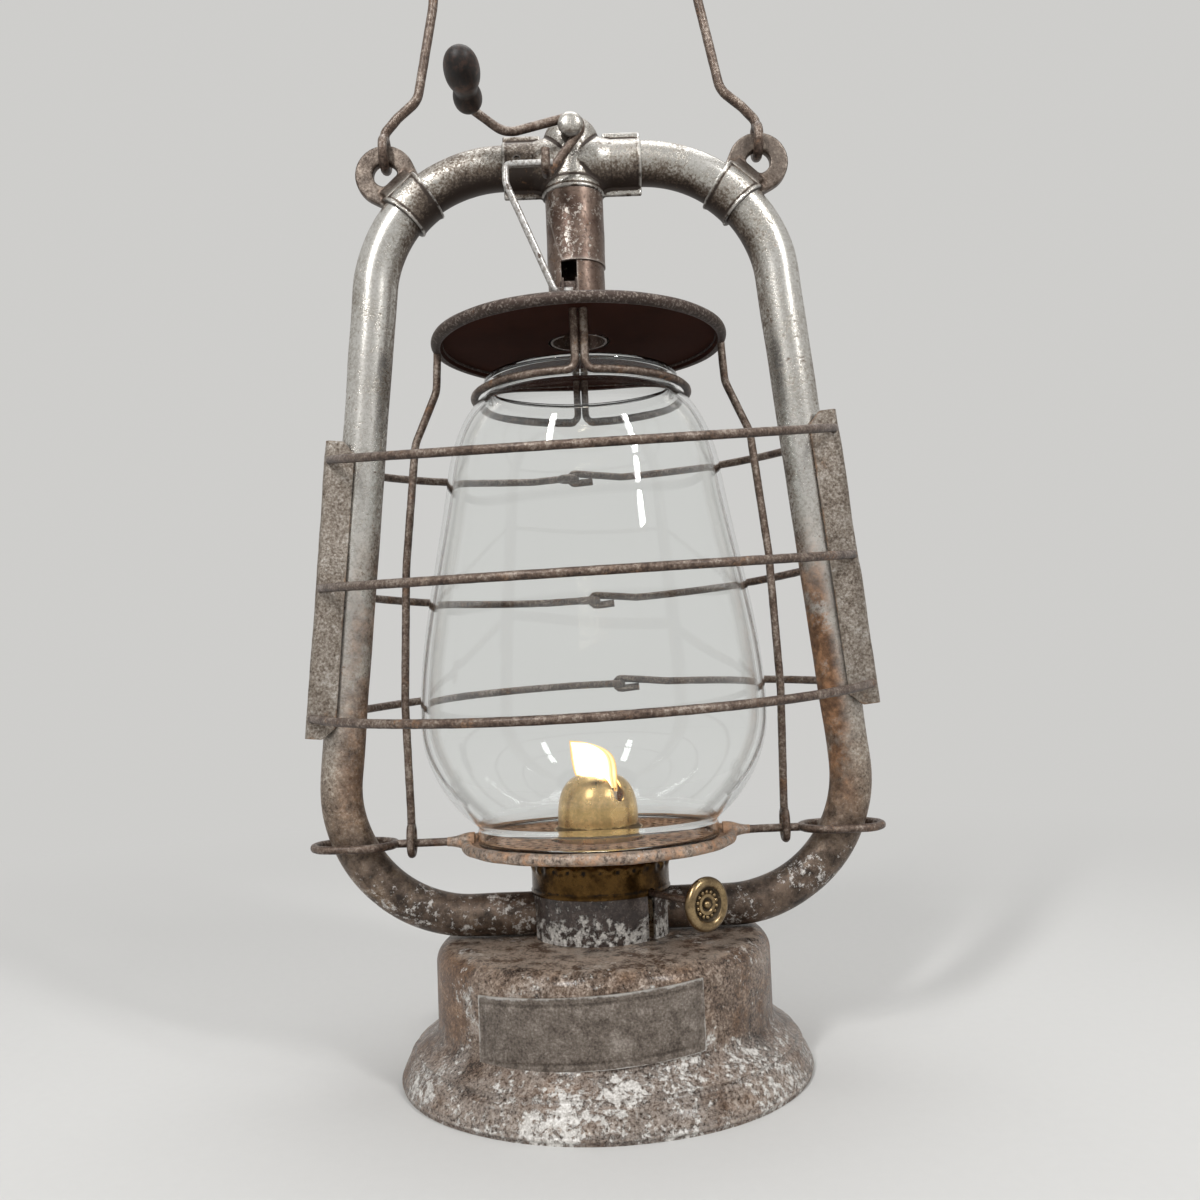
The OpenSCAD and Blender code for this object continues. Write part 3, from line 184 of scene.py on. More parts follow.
class Shade:
    """One material, built up from its metal outwards in layers."""

    def __init__(self, name):
        self.material = bpy.data.materials.new(name)
        self.material.use_nodes = True
        self.tree = self.material.node_tree
        self.shader = self.tree.nodes["Principled BSDF"]
        self.place = self.add("ShaderNodeTexCoord").outputs["Object"]
        parts = self.add("ShaderNodeSeparateXYZ", Vector=self.place).outputs
        self.along, self.height = parts["X"], parts["Z"]
        self.relief = 0.5

    def add(self, kind, **inputs):
        """Adds a node and feeds its inputs, by name with _ for a space."""
        node = self.tree.nodes.new(kind)
        for name, value in inputs.items():
            self.feed(node.inputs[name.replace("_", " ")], value)
        return node

    def feed(self, socket, value):
        """Links a socket to another, or sets its value."""
        if isinstance(value, bpy.types.NodeSocket):
            self.tree.links.new(value, socket)
        elif socket.type == "RGBA":
            socket.default_value = (*value, 1)
        else:
            socket.default_value = value

    def noise(self, size, detail, rough, seed, stretch=None):
        """Noise from 0 to 1 whose grain is about that size, in metres."""
        place = self.place
        if stretch:
            place = self.add("ShaderNodeMapping", Vector=place, Scale=stretch).outputs["Vector"]
        node = self.add("ShaderNodeTexNoise", Vector=place)
        node.noise_dimensions = "4D"
        for name, value in {"W": seed, "Scale": 1 / size, "Detail": detail, "Roughness": rough}.items():
            node.inputs[name].default_value = value
        return node.outputs["Fac"]

    def ramp(self, value, start, end):
        """0 at start and 1 at end, smooth in between."""
        node = self.add("ShaderNodeMapRange", Value=value)
        node.interpolation_type = "SMOOTHSTEP"
        node.inputs["From Min"].default_value = start
        node.inputs["From Max"].default_value = end
        return node.outputs["Result"]

    def grade(self, value, *stops):
        """A colour that runs through several, each reached at its own value."""
        node = self.add("ShaderNodeValToRGB", Fac=value)
        elements = node.color_ramp.elements
        while len(elements) < len(stops):
            elements.new(1.0)
        for element, (at, colour) in zip(elements, stops):
            element.position = at
            element.color = (*colour, 1)
        return node.outputs["Color"]

    def given(self, name):
        """A value that the mesh carries."""
        node = self.add("ShaderNodeAttribute")
        node.attribute_name = name
        return node.outputs["Fac"]

    def times(self, *values):
        """Product of several values."""
        product = values[0]
        for value in values[1:]:
            product = self.sum("MULTIPLY", product, value)
        return product

    def plus(self, value, other, share=1.0):
        """A value with a share of another added."""
        return self.sum("ADD", value, self.sum("MULTIPLY", other, share))

    def mix(self, *parts):
        """Sum of several values, each times its own share."""
        total = self.times(*parts[0])
        for value, share in parts[1:]:
            total = self.plus(total, value, share)
        return total

    def sum(self, operation, a, b):
        """One sum of two values."""
        node = self.add("ShaderNodeMath")
        node.operation = operation
        self.feed(node.inputs[0], a)
        self.feed(node.inputs[1], b)
        return node.outputs["Value"]

    def blend(self, share, a, b):
        """A value or a colour between a and b."""
        node = self.add("ShaderNodeMix")
        is_colour = not isinstance(b, (int, float)) and getattr(b, "type", "RGBA") == "RGBA"
        node.data_type = "RGBA" if is_colour else "FLOAT"
        ends = [s for s in node.inputs if s.enabled and s.name in ("A", "B")]
        self.feed(next(s for s in node.inputs if s.enabled and s.name == "Factor"), share)
        self.feed(ends[0], a)
        self.feed(ends[1], b)
        return next(s for s in node.outputs if s.enabled)

    def start(self, colour, roughness, metallic):
        """The first layer, all over."""
        self.colour, self.roughness, self.metallic = colour, roughness, metallic

    def lay(self, mask, colour, roughness=None, metallic=None, relief=None):
        """One more layer where the mask is 1."""
        self.colour = self.blend(mask, self.colour, colour)
        if roughness is not None:
            self.roughness = self.blend(mask, self.roughness, roughness)
        if metallic is not None:
            self.metallic = self.blend(mask, self.metallic, metallic)
        if relief is not None:
            self.relief = self.blend(mask, self.relief, relief)

    def reach(self):
        """Distance from the upright axis through the origin."""
        flat = self.add("ShaderNodeVectorMath", Vector=self.place)
        flat.operation = "MULTIPLY"
        flat.inputs[1].default_value = (1, 1, 0)
        length = self.add("ShaderNodeVectorMath", Vector=flat.outputs["Vector"])
        length.operation = "LENGTH"
        return length.outputs["Value"]

    def flakes(self, mask, grain, dark, pale, metallic):
        """Raised flakes of old tin where the mask is 1."""
        self.lay(mask, self.blend(self.ramp(grain, 0.35, 0.65), dark, pale), 0.7, metallic, 1.0)

    def set(self, **inputs):
        """Feeds the shader's own inputs, by name with _ for a space."""
        for name, value in inputs.items():
            self.feed(self.shader.inputs[name.replace("_", " ")], value)

    def done(self, depth=0.0, grain=None):
        """Joins the layers to the shader, with their relief and a fine grain as bump."""
        self.set(Base_Color=self.colour, Roughness=self.roughness, Metallic=self.metallic)
        if depth:
            height = self.plus(self.relief, grain, 0.5)
            bump = self.add("ShaderNodeBump", Height=height, Distance=depth, Strength=1.0)
            self.set(Normal=bump.outputs["Normal"])
        return self.material


def worn_tin():
    """The tubes' tin, browner towards the fount, with rust down their inner sides."""
    return tinned("worn_tin", worn=-0.02, grainy=0.5, deep=0.16)


def stamped_tin():
    """The tee's tin, with strong painted shade in its hollows."""
    return tinned("stamped_tin", worn=0.03, grainy=0.45, deep=0.3)


def ear_tin():
    """The ears' tin, rubbed off their lugs."""
    return tinned("ear_tin", worn=0.03, grainy=0.45, deep=0.3, lug=0.9)


def tinned(name, worn, grainy, deep, lug=0.0):
    """Tin on steel: how worn it is, how grainy, how dark the painted shade in its hollows is, and how brown
    a lug is.
    """
    c = colours()
    s = Shade(name)
    grain = s.noise(0.0009, 5, 0.72, 2.0)
    mottle = s.noise(0.0042, 7, 0.74, 4.0)
    near_fount = s.ramp(s.height, 0.165, 0.075)
    left_of_tee = s.times(s.ramp(s.along, -0.062, -0.04), s.ramp(s.along, -0.005, -0.02))
    by_tee = s.times(left_of_tee, s.ramp(s.height, 0.28, 0.3))
    stain = s.plus(s.ramp(s.noise(0.028, 4, 0.6, 3.0), 0.48, 0.68), by_tee, 1.6)
    # The level is darkened on the sides, on the undersides and in the hollows: painted shade
    level = s.mix((grain, grainy), (mottle, 0.2), (s.given("painted_shade"), -0.22), (stain, -0.06),
                  (near_fount, -0.06), (s.given("painted_hollow_shade"), -deep), (1.0, 0.41 - 0.5 * grainy - worn))
    bright = s.ramp(level, 0.34, 0.5)
    s.start(s.grade(level, (0.3, (0.045, 0.032, 0.025)), (0.38, (0.15, 0.116, 0.088)), (0.45, c.dull_tin),
                    (0.54, c.tin)), s.blend(bright, 0.5, 0.25), s.blend(bright, 0.45, 0.92))
    s.relief = bright
    film = s.grade(s.mix((grain, 0.5), (mottle, 0.5)), (0.39, (0.04, 0.025, 0.015)),
                   (0.46, (0.16, 0.1, 0.06)), (0.53, (0.29, 0.205, 0.138)), (0.61, (0.58, 0.51, 0.42)))
    s.lay(s.times(near_fount, 0.85), film, 0.42, 0.6)
    fields = s.ramp(s.noise(0.015, 4, 0.65, 5.0), 0.46, 0.62)
    pits = s.times(fields, s.ramp(s.noise(0.0026, 6, 0.72, 6.0), 0.58, 0.64))
    s.lay(pits, s.blend(grain, (0.05, 0.032, 0.023), (0.2, 0.135, 0.09)), 0.75, 0.15, 0.1)
    rust = s.grade(mottle, (0.36, (0.06, 0.03, 0.016)), (0.5, (0.17, 0.088, 0.045)),
                   (0.62, (0.36, 0.19, 0.095)))
    runs = s.ramp(s.plus(s.noise(0.012, 6, 0.7, 7.0), grain, 0.4), 0.52, 0.7)
    s.lay(s.times(inner_side(s), runs), rust, 0.8, 0.1)
    spots = s.plus(s.noise(0.007, 7, 0.74, 10.0), near_fount, 0.04)
    s.lay(s.ramp(spots, 0.64, 0.7), rust, 0.85, 0.0)
    smears = s.ramp(s.plus(s.noise(0.012, 6, 0.7, 8.0), grain, 0.3), 0.44, 0.66)
    oil = s.grade(mottle, (0.38, (0.028, 0.019, 0.014)), (0.62, (0.17, 0.12, 0.088)))
    s.lay(s.times(s.ramp(s.height, 0.105, 0.062), smears), oil, 0.42, 0.5)
    cluster = s.times(s.noise(0.016, 4, 0.62, 12.0), s.ramp(s.height, 0.09, 0.062))
    flakes = s.ramp(s.plus(s.noise(0.0024, 9, 0.8, 9.0), cluster, 0.42), 0.775, 0.805)
    s.flakes(flakes, grain, (0.34, 0.315, 0.29), (0.72, 0.7, 0.665), 0.1)
    # Bright tin on convex edges: partly rubbed wear, partly painted highlight
    s.lay(s.times(s.given("edge"), s.ramp(mottle, 0.42, 0.55), 0.6), c.tin, 0.35, 0.8)
    if lug:
        brown = s.grade(s.mix((mottle, 0.6), (grain, 0.4)), (0.38, (0.035, 0.022, 0.015)),
                        (0.5, (0.1, 0.07, 0.052)), (0.62, (0.27, 0.215, 0.17)))
        s.lay(s.times(lug_side(s), lug), brown, 0.42, 0.6)
    return s.done(0.00005, grain)


def lug_side(s):
    """Share of the brown on an ear: none on its strap, all of it on its lug."""
    across, up = math.cos(EAR_TURN), math.sin(EAR_TURN)
    far = s.plus(s.times(s.sum("ABSOLUTE", s.along, 0.0), across), s.height, up)
    strap = BEND_CENTRE.x * across + BEND_CENTRE.z * up + BEND_TOP_R
    clean, brown = strap + 6, strap + 9.5
    return s.ramp(far, clean * MM, brown * MM)


def inner_side(s):
    """Share of rust on the side of a tube that faces the globe, between two heights, more on the right."""
    lean = -TUBE_UP.x / TUBE_UP.z
    axis = (TUBE_LOW_X + lean * TUBE_LOW_Z) * MM
    inside = s.mix((s.sum("ABSOLUTE", s.along, 0.0), 1.0), (s.height, lean), (1.0, -axis))
    span = s.times(s.ramp(s.height, 0.07, 0.1), s.ramp(s.height, 0.2, 0.15))
    return s.times(s.ramp(inside, 0.0035, -0.0035), span, s.blend(s.ramp(s.along, 0.0, 0.01), 0.6, 1.0))


def fount_patina():
    """Brown patina on the fount, with rust at its sides and clusters of pale flakes, painted shade on its
    sides, undersides and hollows, painted light on its top, and pale edges that are partly wear and partly
    painted highlight.
    """
    s = Shade("fount_patina")
    grain = s.noise(0.0009, 5, 0.72, 12.0)
    mottle = s.noise(0.0055, 7, 0.74, 13.0)
    # Mask of painted shade on the sides and undersides: it darkens the patina, and it also places more rust
    # on the sides
    painted_shade = s.given("painted_shade")
    level = s.mix((grain, 0.6), (mottle, 0.42), (s.noise(0.026, 4, 0.6, 11.0), 0.25), (1.0, -0.125),
                  (s.given("painted_hollow_shade"), -0.08), (painted_shade, -0.15))
    colour = s.grade(level, (0.38, (0.035, 0.021, 0.014)), (0.45, colours().patina),
                     (0.51, (0.25, 0.178, 0.13)), (0.57, (0.46, 0.375, 0.31)))
    s.start(colour, s.blend(s.ramp(level, 0.4, 0.6), 0.26, 0.4), 0.55)
    s.relief = s.ramp(level, 0.35, 0.6)
    rust = s.grade(level, (0.38, (0.075, 0.035, 0.016)), (0.5, (0.22, 0.115, 0.055)),
                   (0.6, (0.4, 0.24, 0.13)))
    skirt, deck = s.ramp(s.height, 0.023, 0.012), s.ramp(s.height, 0.043, 0.0465)
    left = s.times(s.ramp(s.along, -0.04, -0.055), s.ramp(s.height, 0.016, 0.026))
    where = s.mix((s.noise(0.022, 5, 0.66, 14.0), 1.0), (painted_shade, 0.25), (grain, 0.2), (left, 0.14))
    s.lay(s.times(s.ramp(where, 0.6, 0.78), 0.85), rust, 0.6, 0.2)
    cluster = s.mix((s.noise(0.02, 4, 0.6, 16.0), 1.0), (skirt, 0.095), (deck, -0.05), (left, -0.1))
    hazy = s.mix((cluster, 1.0), (mottle, 0.5), (skirt, 0.1))
    haze = s.times(s.ramp(hazy, 0.76, 0.94), s.ramp(grain, 0.36, 0.6), 0.75)
    s.lay(haze, (0.46, 0.405, 0.36), 0.6, 0.25)
    flakes = s.ramp(s.plus(s.noise(0.0026, 9, 0.8, 18.0), cluster, 0.6), 0.89, 0.92)
    s.flakes(flakes, grain, (0.42, 0.39, 0.355), (0.78, 0.755, 0.715), 0.05)
    # Painted light: pale patches on the top deck, where light from above falls, broken up by noise
    painted_top_light = s.times(deck, s.ramp(s.plus(mottle, grain, 0.6), 0.7, 0.86), 0.9)
    s.lay(painted_top_light, (0.6, 0.51, 0.42), 0.6, 0.3)
    # Painted highlight on convex edges, partly rubbed metal
    s.lay(s.times(s.given("edge"), s.ramp(mottle, 0.44, 0.56), 0.5), (0.42, 0.37, 0.33), 0.45, 0.5)
    s.set(Coat_Weight=0.3, Coat_Roughness=0.2)
    return s.done(0.00026, grain)


def bare_patina():
    """The bare plate's brown-grey patina, finely grained, paler along its edges as rubbed wear and painted
    highlight, with painted shade in its hollows.
    """
    s = Shade("bare_patina")
    grain = s.noise(0.0008, 5, 0.72, 18.0)
    # Darker in the hollows: painted shade
    level = s.mix((grain, 0.5), (s.noise(0.006, 7, 0.72, 17.0), 0.5), (s.given("painted_hollow_shade"), -0.08))
    colour = s.grade(level, (0.4, (0.06, 0.045, 0.035)), (0.47, (0.14, 0.112, 0.09)),
                     (0.53, (0.21, 0.175, 0.147)), (0.6, (0.36, 0.315, 0.275)))
    s.start(colour, s.blend(level, 0.36, 0.5), 0.55)
    s.relief = level
    scuffs = s.ramp(s.plus(s.noise(0.013, 7, 0.74, 19.0), grain, 0.2), 0.75, 0.79)
    s.lay(scuffs, (0.5, 0.47, 0.435), 0.6, 0.3, 0.7)
    # Paler edges, widest on the top and left: partly rubbed wear, partly painted highlight
    rubbed_and_highlit = s.ramp(s.plus(s.given("edge_wear_and_highlight"), s.noise(0.006, 7, 0.75, 20.0), 1.6), 1.55, 1.8)
    s.lay(rubbed_and_highlit, s.blend(grain, (0.3, 0.275, 0.25), (0.66, 0.635, 0.6)), 0.42, 0.5, 0.7)
    s.set(Coat_Weight=0.3, Coat_Roughness=0.3)
    return s.done(0.00026, grain)


def collar_patina():
    """Nearly black patina with pale flakes, on the burner collar."""
    s = Shade("collar_patina")
    grain = s.noise(0.0009, 5, 0.72, 21.0)
    level = s.mix((grain, 0.4), (s.noise(0.005, 7, 0.74, 22.0), 0.6))
    colour = s.grade(level, (0.38, (0.014, 0.009, 0.008)), (0.5, (0.055, 0.039, 0.033)),
                     (0.62, (0.16, 0.125, 0.11)))
    s.start(colour, 0.34, 0.5)
    cluster = s.plus(s.noise(0.013, 4, 0.62, 24.0), s.ramp(s.height, 0.06, 0.049), 0.2)
    flakes = s.ramp(s.plus(s.noise(0.0026, 9, 0.8, 23.0), cluster, 0.5), 0.82, 0.855)
    s.flakes(flakes, grain, (0.36, 0.34, 0.315), (0.75, 0.73, 0.69), 0.1)
    s.set(Coat_Weight=0.5, Coat_Roughness=0.25)
    return s.done(0.00032, grain)


def rusted_wire():
    """Wire under a coat of brown rust, rubbed to grey metal on its high spots."""
    s = Shade("rusted_wire")
    grain = s.noise(0.001, 5, 0.72, 31.0)
    # Darker on the sides and the undersides: painted shade
    level = s.mix((grain, 0.55), (s.noise(0.0055, 6, 0.72, 32.0), 0.45), (s.given("painted_shade"), -0.1))
    colour = s.grade(level, (0.34, (0.022, 0.013, 0.009)), (0.42, (0.078, 0.048, 0.034)),
                     (0.5, (0.155, 0.108, 0.08)), (0.58, (0.34, 0.285, 0.24)))
    s.start(colour, s.blend(s.ramp(level, 0.4, 0.55), 0.6, 0.36), 0.55)
    s.relief = level
    s.lay(s.ramp(s.plus(s.noise(0.009, 5, 0.7, 34.0), grain, 0.2), 0.66, 0.76),
          s.grade(grain, (0.4, (0.07, 0.035, 0.019)), (0.62, (0.27, 0.15, 0.08))), 0.8, 0.05)
    s.set(Coat_Weight=0.3, Coat_Roughness=0.3)
    return s.done(0.00034, grain)


def bright_wire():
    """Lift rod, still mostly tinned."""
    s = Shade("bright_wire")
    grain = s.noise(0.0012, 4, 0.65, 36.0)
    s.start(s.blend(s.ramp(grain, 0.35, 0.6), (0.32, 0.29, 0.26), (0.74, 0.73, 0.71)), 0.36, 0.7)
    s.lay(s.ramp(s.noise(0.004, 5, 0.7, 37.0), 0.56, 0.64), (0.1, 0.068, 0.052), 0.7, 0.2, 0.3)
    # Painted shade on the sides and the undersides
    s.lay(s.times(s.given("painted_shade"), 0.6), (0.14, 0.115, 0.095), 0.55, 0.4)
    return s.done(0.0002, grain)


def hood_rust():
    """Dark rust on the hood, with paler rubbed grains."""
    s = Shade("hood_rust")
    grain = s.noise(0.001, 4, 0.65, 41.0)
    drift = s.noise(0.012, 4, 0.6, 42.0)
    s.start(s.blend(drift, (0.025, 0.015, 0.012), (0.095, 0.064, 0.05)), 0.48, 0.5)
    s.lay(s.ramp(grain, 0.5, 0.64), (0.27, 0.225, 0.192), 0.42, 0.6, 0.72)
    s.lay(s.ramp(s.noise(0.008, 5, 0.7, 43.0), 0.58, 0.7), (0.13, 0.066, 0.037), 0.85, 0.0, 0.6)
    # Painted shade on the sides and the undersides
    s.lay(s.times(s.given("painted_shade"), 0.5), (0.025, 0.015, 0.012), 0.7, 0.2)
    return s.done(0.0003, grain)


def hood_scale_and_shade():
    """Red-brown scale under the hood, made nearly black as painted shade."""
    s = Shade("hood_scale_and_shade")
    grain = s.noise(0.0012, 4, 0.65, 46.0)
    s.start(s.blend(s.noise(0.02, 5, 0.6, 47.0), (0.015, 0.005, 0.003), (0.045, 0.014, 0.008)), 0.9, 0.0)
    s.set(Specular_IOR_Level=0.06)
    s.lay(s.ramp(grain, 0.58, 0.72), (0.016, 0.007, 0.005), 0.9, 0.0, 0.3)
    return s.done(0.0002, grain)


def chimney_brown():
    """Shiny brown scale on the chimney, speckled with bare metal, with painted shade on its sides,
    undersides and hollows, and painted highlights on its edges above the hood.
    """
    s = Shade("chimney_brown")
    grain = s.noise(0.0012, 4, 0.7, 51.0)
    drift = s.noise(0.011, 5, 0.62, 52.0)
    colour = s.blend(s.ramp(drift, 0.35, 0.65), (0.085, 0.05, 0.037), (0.235, 0.17, 0.135))
    s.start(colour, s.blend(drift, 0.4, 0.28), 0.7)
    s.lay(s.times(s.ramp(grain, 0.5, 0.64), 0.7), (0.06, 0.036, 0.027), 0.5, 0.5, 0.4)
    specks = s.plus(s.noise(0.0018, 8, 0.78, 53.0), s.noise(0.012, 4, 0.6, 56.0), 0.4)
    s.lay(s.ramp(specks, 0.755, 0.8), (0.5, 0.455, 0.41), 0.36, 0.7, 0.68)
    rust = s.blend(grain, (0.13, 0.065, 0.033), (0.27, 0.145, 0.075))
    s.lay(s.ramp(s.noise(0.006, 6, 0.7, 54.0), 0.57, 0.67), rust, 0.8, 0.05, 0.55)
    # Painted shade on the sides and the undersides
    s.lay(s.times(s.given("painted_shade"), s.ramp(drift, 0.3, 0.6), 0.8), (0.05, 0.031, 0.024), 0.5, 0.5)
    # Painted shade in the hollows
    s.lay(s.ramp(s.given("painted_hollow_shade"), 0.1, 0.6), (0.03, 0.018, 0.014), 0.7, 0.3, 0.3)
    # Painted highlight along convex edges above the hood, such as the lap's edge, partly rubbed metal
    above_hood = s.ramp(s.height, (HOOD_LOW + 1) * MM, (HOOD_LOW + 3) * MM)
    s.lay(s.times(s.given("edge"), above_hood, 0.6), (0.42, 0.37, 0.33), 0.4, 0.6, 0.6)
    return s.done(0.0002, grain)


def guard_grey():
    """Grainy grey-brown sheet of the guard plates, rusty along its edges."""
    s = Shade("guard_grey")
    grain = s.noise(0.0009, 5, 0.72, 61.0)
    # Darker in the hollows: painted shade
    level = s.mix((grain, 0.6), (s.noise(0.0065, 7, 0.74, 62.0), 0.4), (s.given("painted_hollow_shade"), -0.1))
    colour = s.grade(level, (0.37, (0.05, 0.035, 0.026)), (0.45, (0.155, 0.122, 0.095)),
                     (0.52, (0.27, 0.232, 0.193)), (0.61, (0.46, 0.425, 0.385)))
    s.start(colour, s.blend(s.ramp(level, 0.4, 0.58), 0.6, 0.38), 0.5)
    s.relief = level
    fringe = s.mix((s.noise(0.013, 6, 0.72, 63.0), 1.0), (s.given("edge"), 0.14), (grain, 0.2))
    rust = s.grade(grain, (0.4, (0.07, 0.037, 0.02)), (0.62, (0.25, 0.145, 0.075)))
    s.lay(s.times(s.ramp(fringe, 0.68, 0.8), 0.85), rust, 0.8, 0.05)
    return s.done(0.00026, grain)


def plate_rust_and_flame_light():
    """Orange-brown rust on the globe plate, its orange made paler as painted flame light, greyer on its rim,
    with painted shade in its hollows.
    """
    s = Shade("plate_rust_and_flame_light")
    grain = s.noise(0.0011, 4, 0.7, 71.0)
    drift = s.noise(0.01, 5, 0.6, 72.0)
    # The orange base is partly rust and partly painted light: it is made paler to stand in for the flame's
    # light on the plate
    s.start(s.blend(s.ramp(drift, 0.35, 0.65), (0.46, 0.25, 0.135), (0.68, 0.44, 0.29)), 0.75, 0.1)
    s.lay(s.times(s.ramp(grain, 0.52, 0.66), 0.8), (0.13, 0.072, 0.042), 0.85, 0.0, 0.3)
    rim_from, rim_full = PLATE_R - 3.2, PLATE_R - 1.4
    rim = s.ramp(s.reach(), rim_from * MM, rim_full * MM)
    grey = s.grade(grain, (0.38, (0.09, 0.064, 0.048)), (0.62, (0.5, 0.4, 0.325)))
    s.lay(s.times(rim, s.ramp(s.noise(0.004, 6, 0.7, 73.0), 0.34, 0.56)), grey, 0.5, 0.4, 0.6)
    flakes = s.ramp(s.noise(0.0022, 6, 0.75, 74.0), 0.6, 0.66)
    s.lay(s.times(rim, flakes), colours().flake, 0.7, 0.2, 0.8)
    # Painted shade in the hollows
    s.lay(s.times(s.given("painted_hollow_shade"), 0.7), (0.06, 0.034, 0.022), 0.85, 0.0, 0.3)
    return s.done(0.0003, grain)


def aged_brass():
    """The dome's brass, dulled by age."""
    return brass("aged_brass", colours().brass, (0.6, 0.41, 0.175))


def knob_brass():
    """The knob's bronze-brown brass, nearly black in its hollows, partly tarnish and partly painted shade.
    """
    return brass("knob_brass", (0.37, 0.27, 0.145), (0.17, 0.12, 0.066))


def browned_and_shaded_brass():
    """Brass of the burner ring, heat-browned and darkened further as painted shade under the plate."""
    return brass("browned_and_shaded_brass", (0.1, 0.054, 0.017), (0.036, 0.019, 0.007))


def brass(name, bright, dull):
    """Brass that a brown tarnish has dulled in patches, more on its sides and undersides as painted shade,
    and darker in its hollows, partly tarnish and partly painted shade.
    """
    s = Shade(name)
    drift = s.noise(0.008, 4, 0.6, 81.0)
    grain = s.noise(0.0012, 5, 0.7, 82.0)
    # Duller on the sides and the undersides: painted shade
    patches = s.mix((drift, 0.6), (grain, 0.4), (s.given("painted_shade"), 0.12))
    s.start(s.blend(s.ramp(patches, 0.42, 0.62), bright, dull), s.blend(drift, 0.2, 0.36), 1.0)
    # Darker in the hollows: partly tarnish, partly painted shade
    tarnish = s.mix((s.noise(0.0036, 6, 0.72, 83.0), 0.7), (grain, 0.3), (s.given("painted_hollow_shade"), 0.3))
    s.lay(s.ramp(tarnish, 0.56, 0.74), tuple(0.28 * x for x in dull), 0.55, 0.7, 0.35)
    return s.done(0.00009, grain)


def clear_glass():
    """Clear blown glass."""
    s = Shade("clear_glass")
    s.start(colours().glass, 0.0, 0.0)
    s.set(Transmission_Weight=1.0, IOR=1.47)
    return s.done()


def grip_wood():
    """Blackened wood, worn smooth, browner where it is rubbed."""
    c = colours()
    s = Shade("grip_wood")
    grain = s.noise(0.0012, 4, 0.6, 91.0, stretch=(1, 0.12, 1))
    s.start(s.blend(s.ramp(grain, 0.4, 0.65), c.wood, (0.035, 0.02, 0.015)), s.blend(grain, 0.42, 0.55), 0.0)
    s.lay(s.times(s.ramp(s.noise(0.007, 4, 0.7, 92.0), 0.52, 0.66), 0.8), (0.085, 0.042, 0.027), 0.45)
    # Nearly black in the hollows: painted shade
    s.lay(s.given("painted_hollow_shade"), (0.008, 0.006, 0.005), 0.6)
    s.set(Specular_IOR_Level=0.35)
    return s.done(0.00012, grain)


def wick_cotton():
    """Woven cotton, charred at the tip."""
    s = Shade("wick_cotton")
    weave = s.noise(0.0006, 2, 0.5, 93.0)
    s.start(s.blend(weave, (0.55, 0.48, 0.38), (0.82, 0.77, 0.66)), 0.9, 0.0)
    char_from, char_full = 0.0938, 0.0948
    s.lay(s.ramp(s.height, char_from, char_full), (0.012, 0.01, 0.009), 0.95)
    return s.done(0.0002, weave)


def seal_leather():
    """Oiled leather washer."""
    s = Shade("seal_leather")
    grain = s.noise(0.0008, 3, 0.6, 95.0)
    s.start(s.blend(grain, (0.05, 0.03, 0.018), (0.16, 0.1, 0.06)), 0.7, 0.0)
    return s.done(0.0001, grain)


def flame_glow():
    """Glowing gas, white-hot inside and orange towards its thin edge."""
    s = Shade("flame_glow")
    s.start((0, 0, 0), 1.0, 0.0)
    rim = s.given("rim")
    glow = s.blend(s.ramp(rim, 0.5, 0.95), (1.0, 0.93, 0.76), (1.0, 0.56, 0.16))
    s.set(Emission_Color=glow, Emission_Strength=s.blend(s.ramp(rim, 0.4, 0.9), 9.0, 1.2))
    s.set(Alpha=s.ramp(rim, 1.0, 0.86), Specular_IOR_Level=0.0)
    return s.done()


FINISHES = {}


def finish(maker):
    """The material of a finish, made once."""
    if maker.__name__ not in FINISHES:
        FINISHES[maker.__name__] = maker()
    return FINISHES[maker.__name__]


# Mesh building

def mesh_of(name, points, faces=(), edges=()):
    """A mesh from points in millimetres."""
    mesh = bpy.data.meshes.new(name)
    mesh.from_pydata([Vector(p) * MM for p in points], edges, faces)
    return mesh


def tidy(mesh, merge=1e-6):
    """Merges doubled points and turns the faces outwards."""
    bm = bmesh.new()
    bm.from_mesh(mesh)
    bmesh.ops.remove_doubles(bm, verts=bm.verts, dist=merge)
    bmesh.ops.dissolve_degenerate(bm, edges=bm.edges, dist=merge)
    bmesh.ops.recalc_face_normals(bm, faces=bm.faces)
    bm.to_mesh(mesh)
    bm.free()
    return mesh


def smooth(mesh, angle=38):
    """Shades smoothly, with an edge left sharp where faces turn by more than the angle."""
    mesh.shade_smooth()
    mesh.set_sharp_from_angle(angle=math.radians(angle))
    return mesh


def dent(mesh, depth, size, seed=0.0):
    """Moves the surface in and out a little, as knocks and handling do."""
    shift = Vector((seed, 2 * seed, 3 * seed))
    mesh.update()
    moves = [v.normal * depth * noise.noise(v.co / size + shift) for v in mesh.vertices]
    for vertex, move in zip(mesh.vertices, moves):
        vertex.co += move
    return mesh


def arc(centre, radius, start, end, steps=10):
    """Points of an arc in the plane of an outline, angles in degrees."""
    turns = [math.radians(start + (end - start) * i / steps) for i in range(steps + 1)]
    return [(centre[0] + radius * math.cos(a), centre[1] + radius * math.sin(a)) for a in turns]


def bulge(p, q, radius, steps=16):
    """Points of an arc of that radius from p up to q, bulging outwards."""
    half = math.dist(p, q) / 2
    along = ((q[0] - p[0]) / (2 * half), (q[1] - p[1]) / (2 * half))
    back = math.sqrt(radius * radius - half * half)
    centre = ((p[0] + q[0]) / 2 - back * along[1], (p[1] + q[1]) / 2 + back * along[0])
    start, end = (math.degrees(math.atan2(v[1] - centre[1], v[0] - centre[0])) for v in (p, q))
    return arc(centre, radius, start, end, steps)


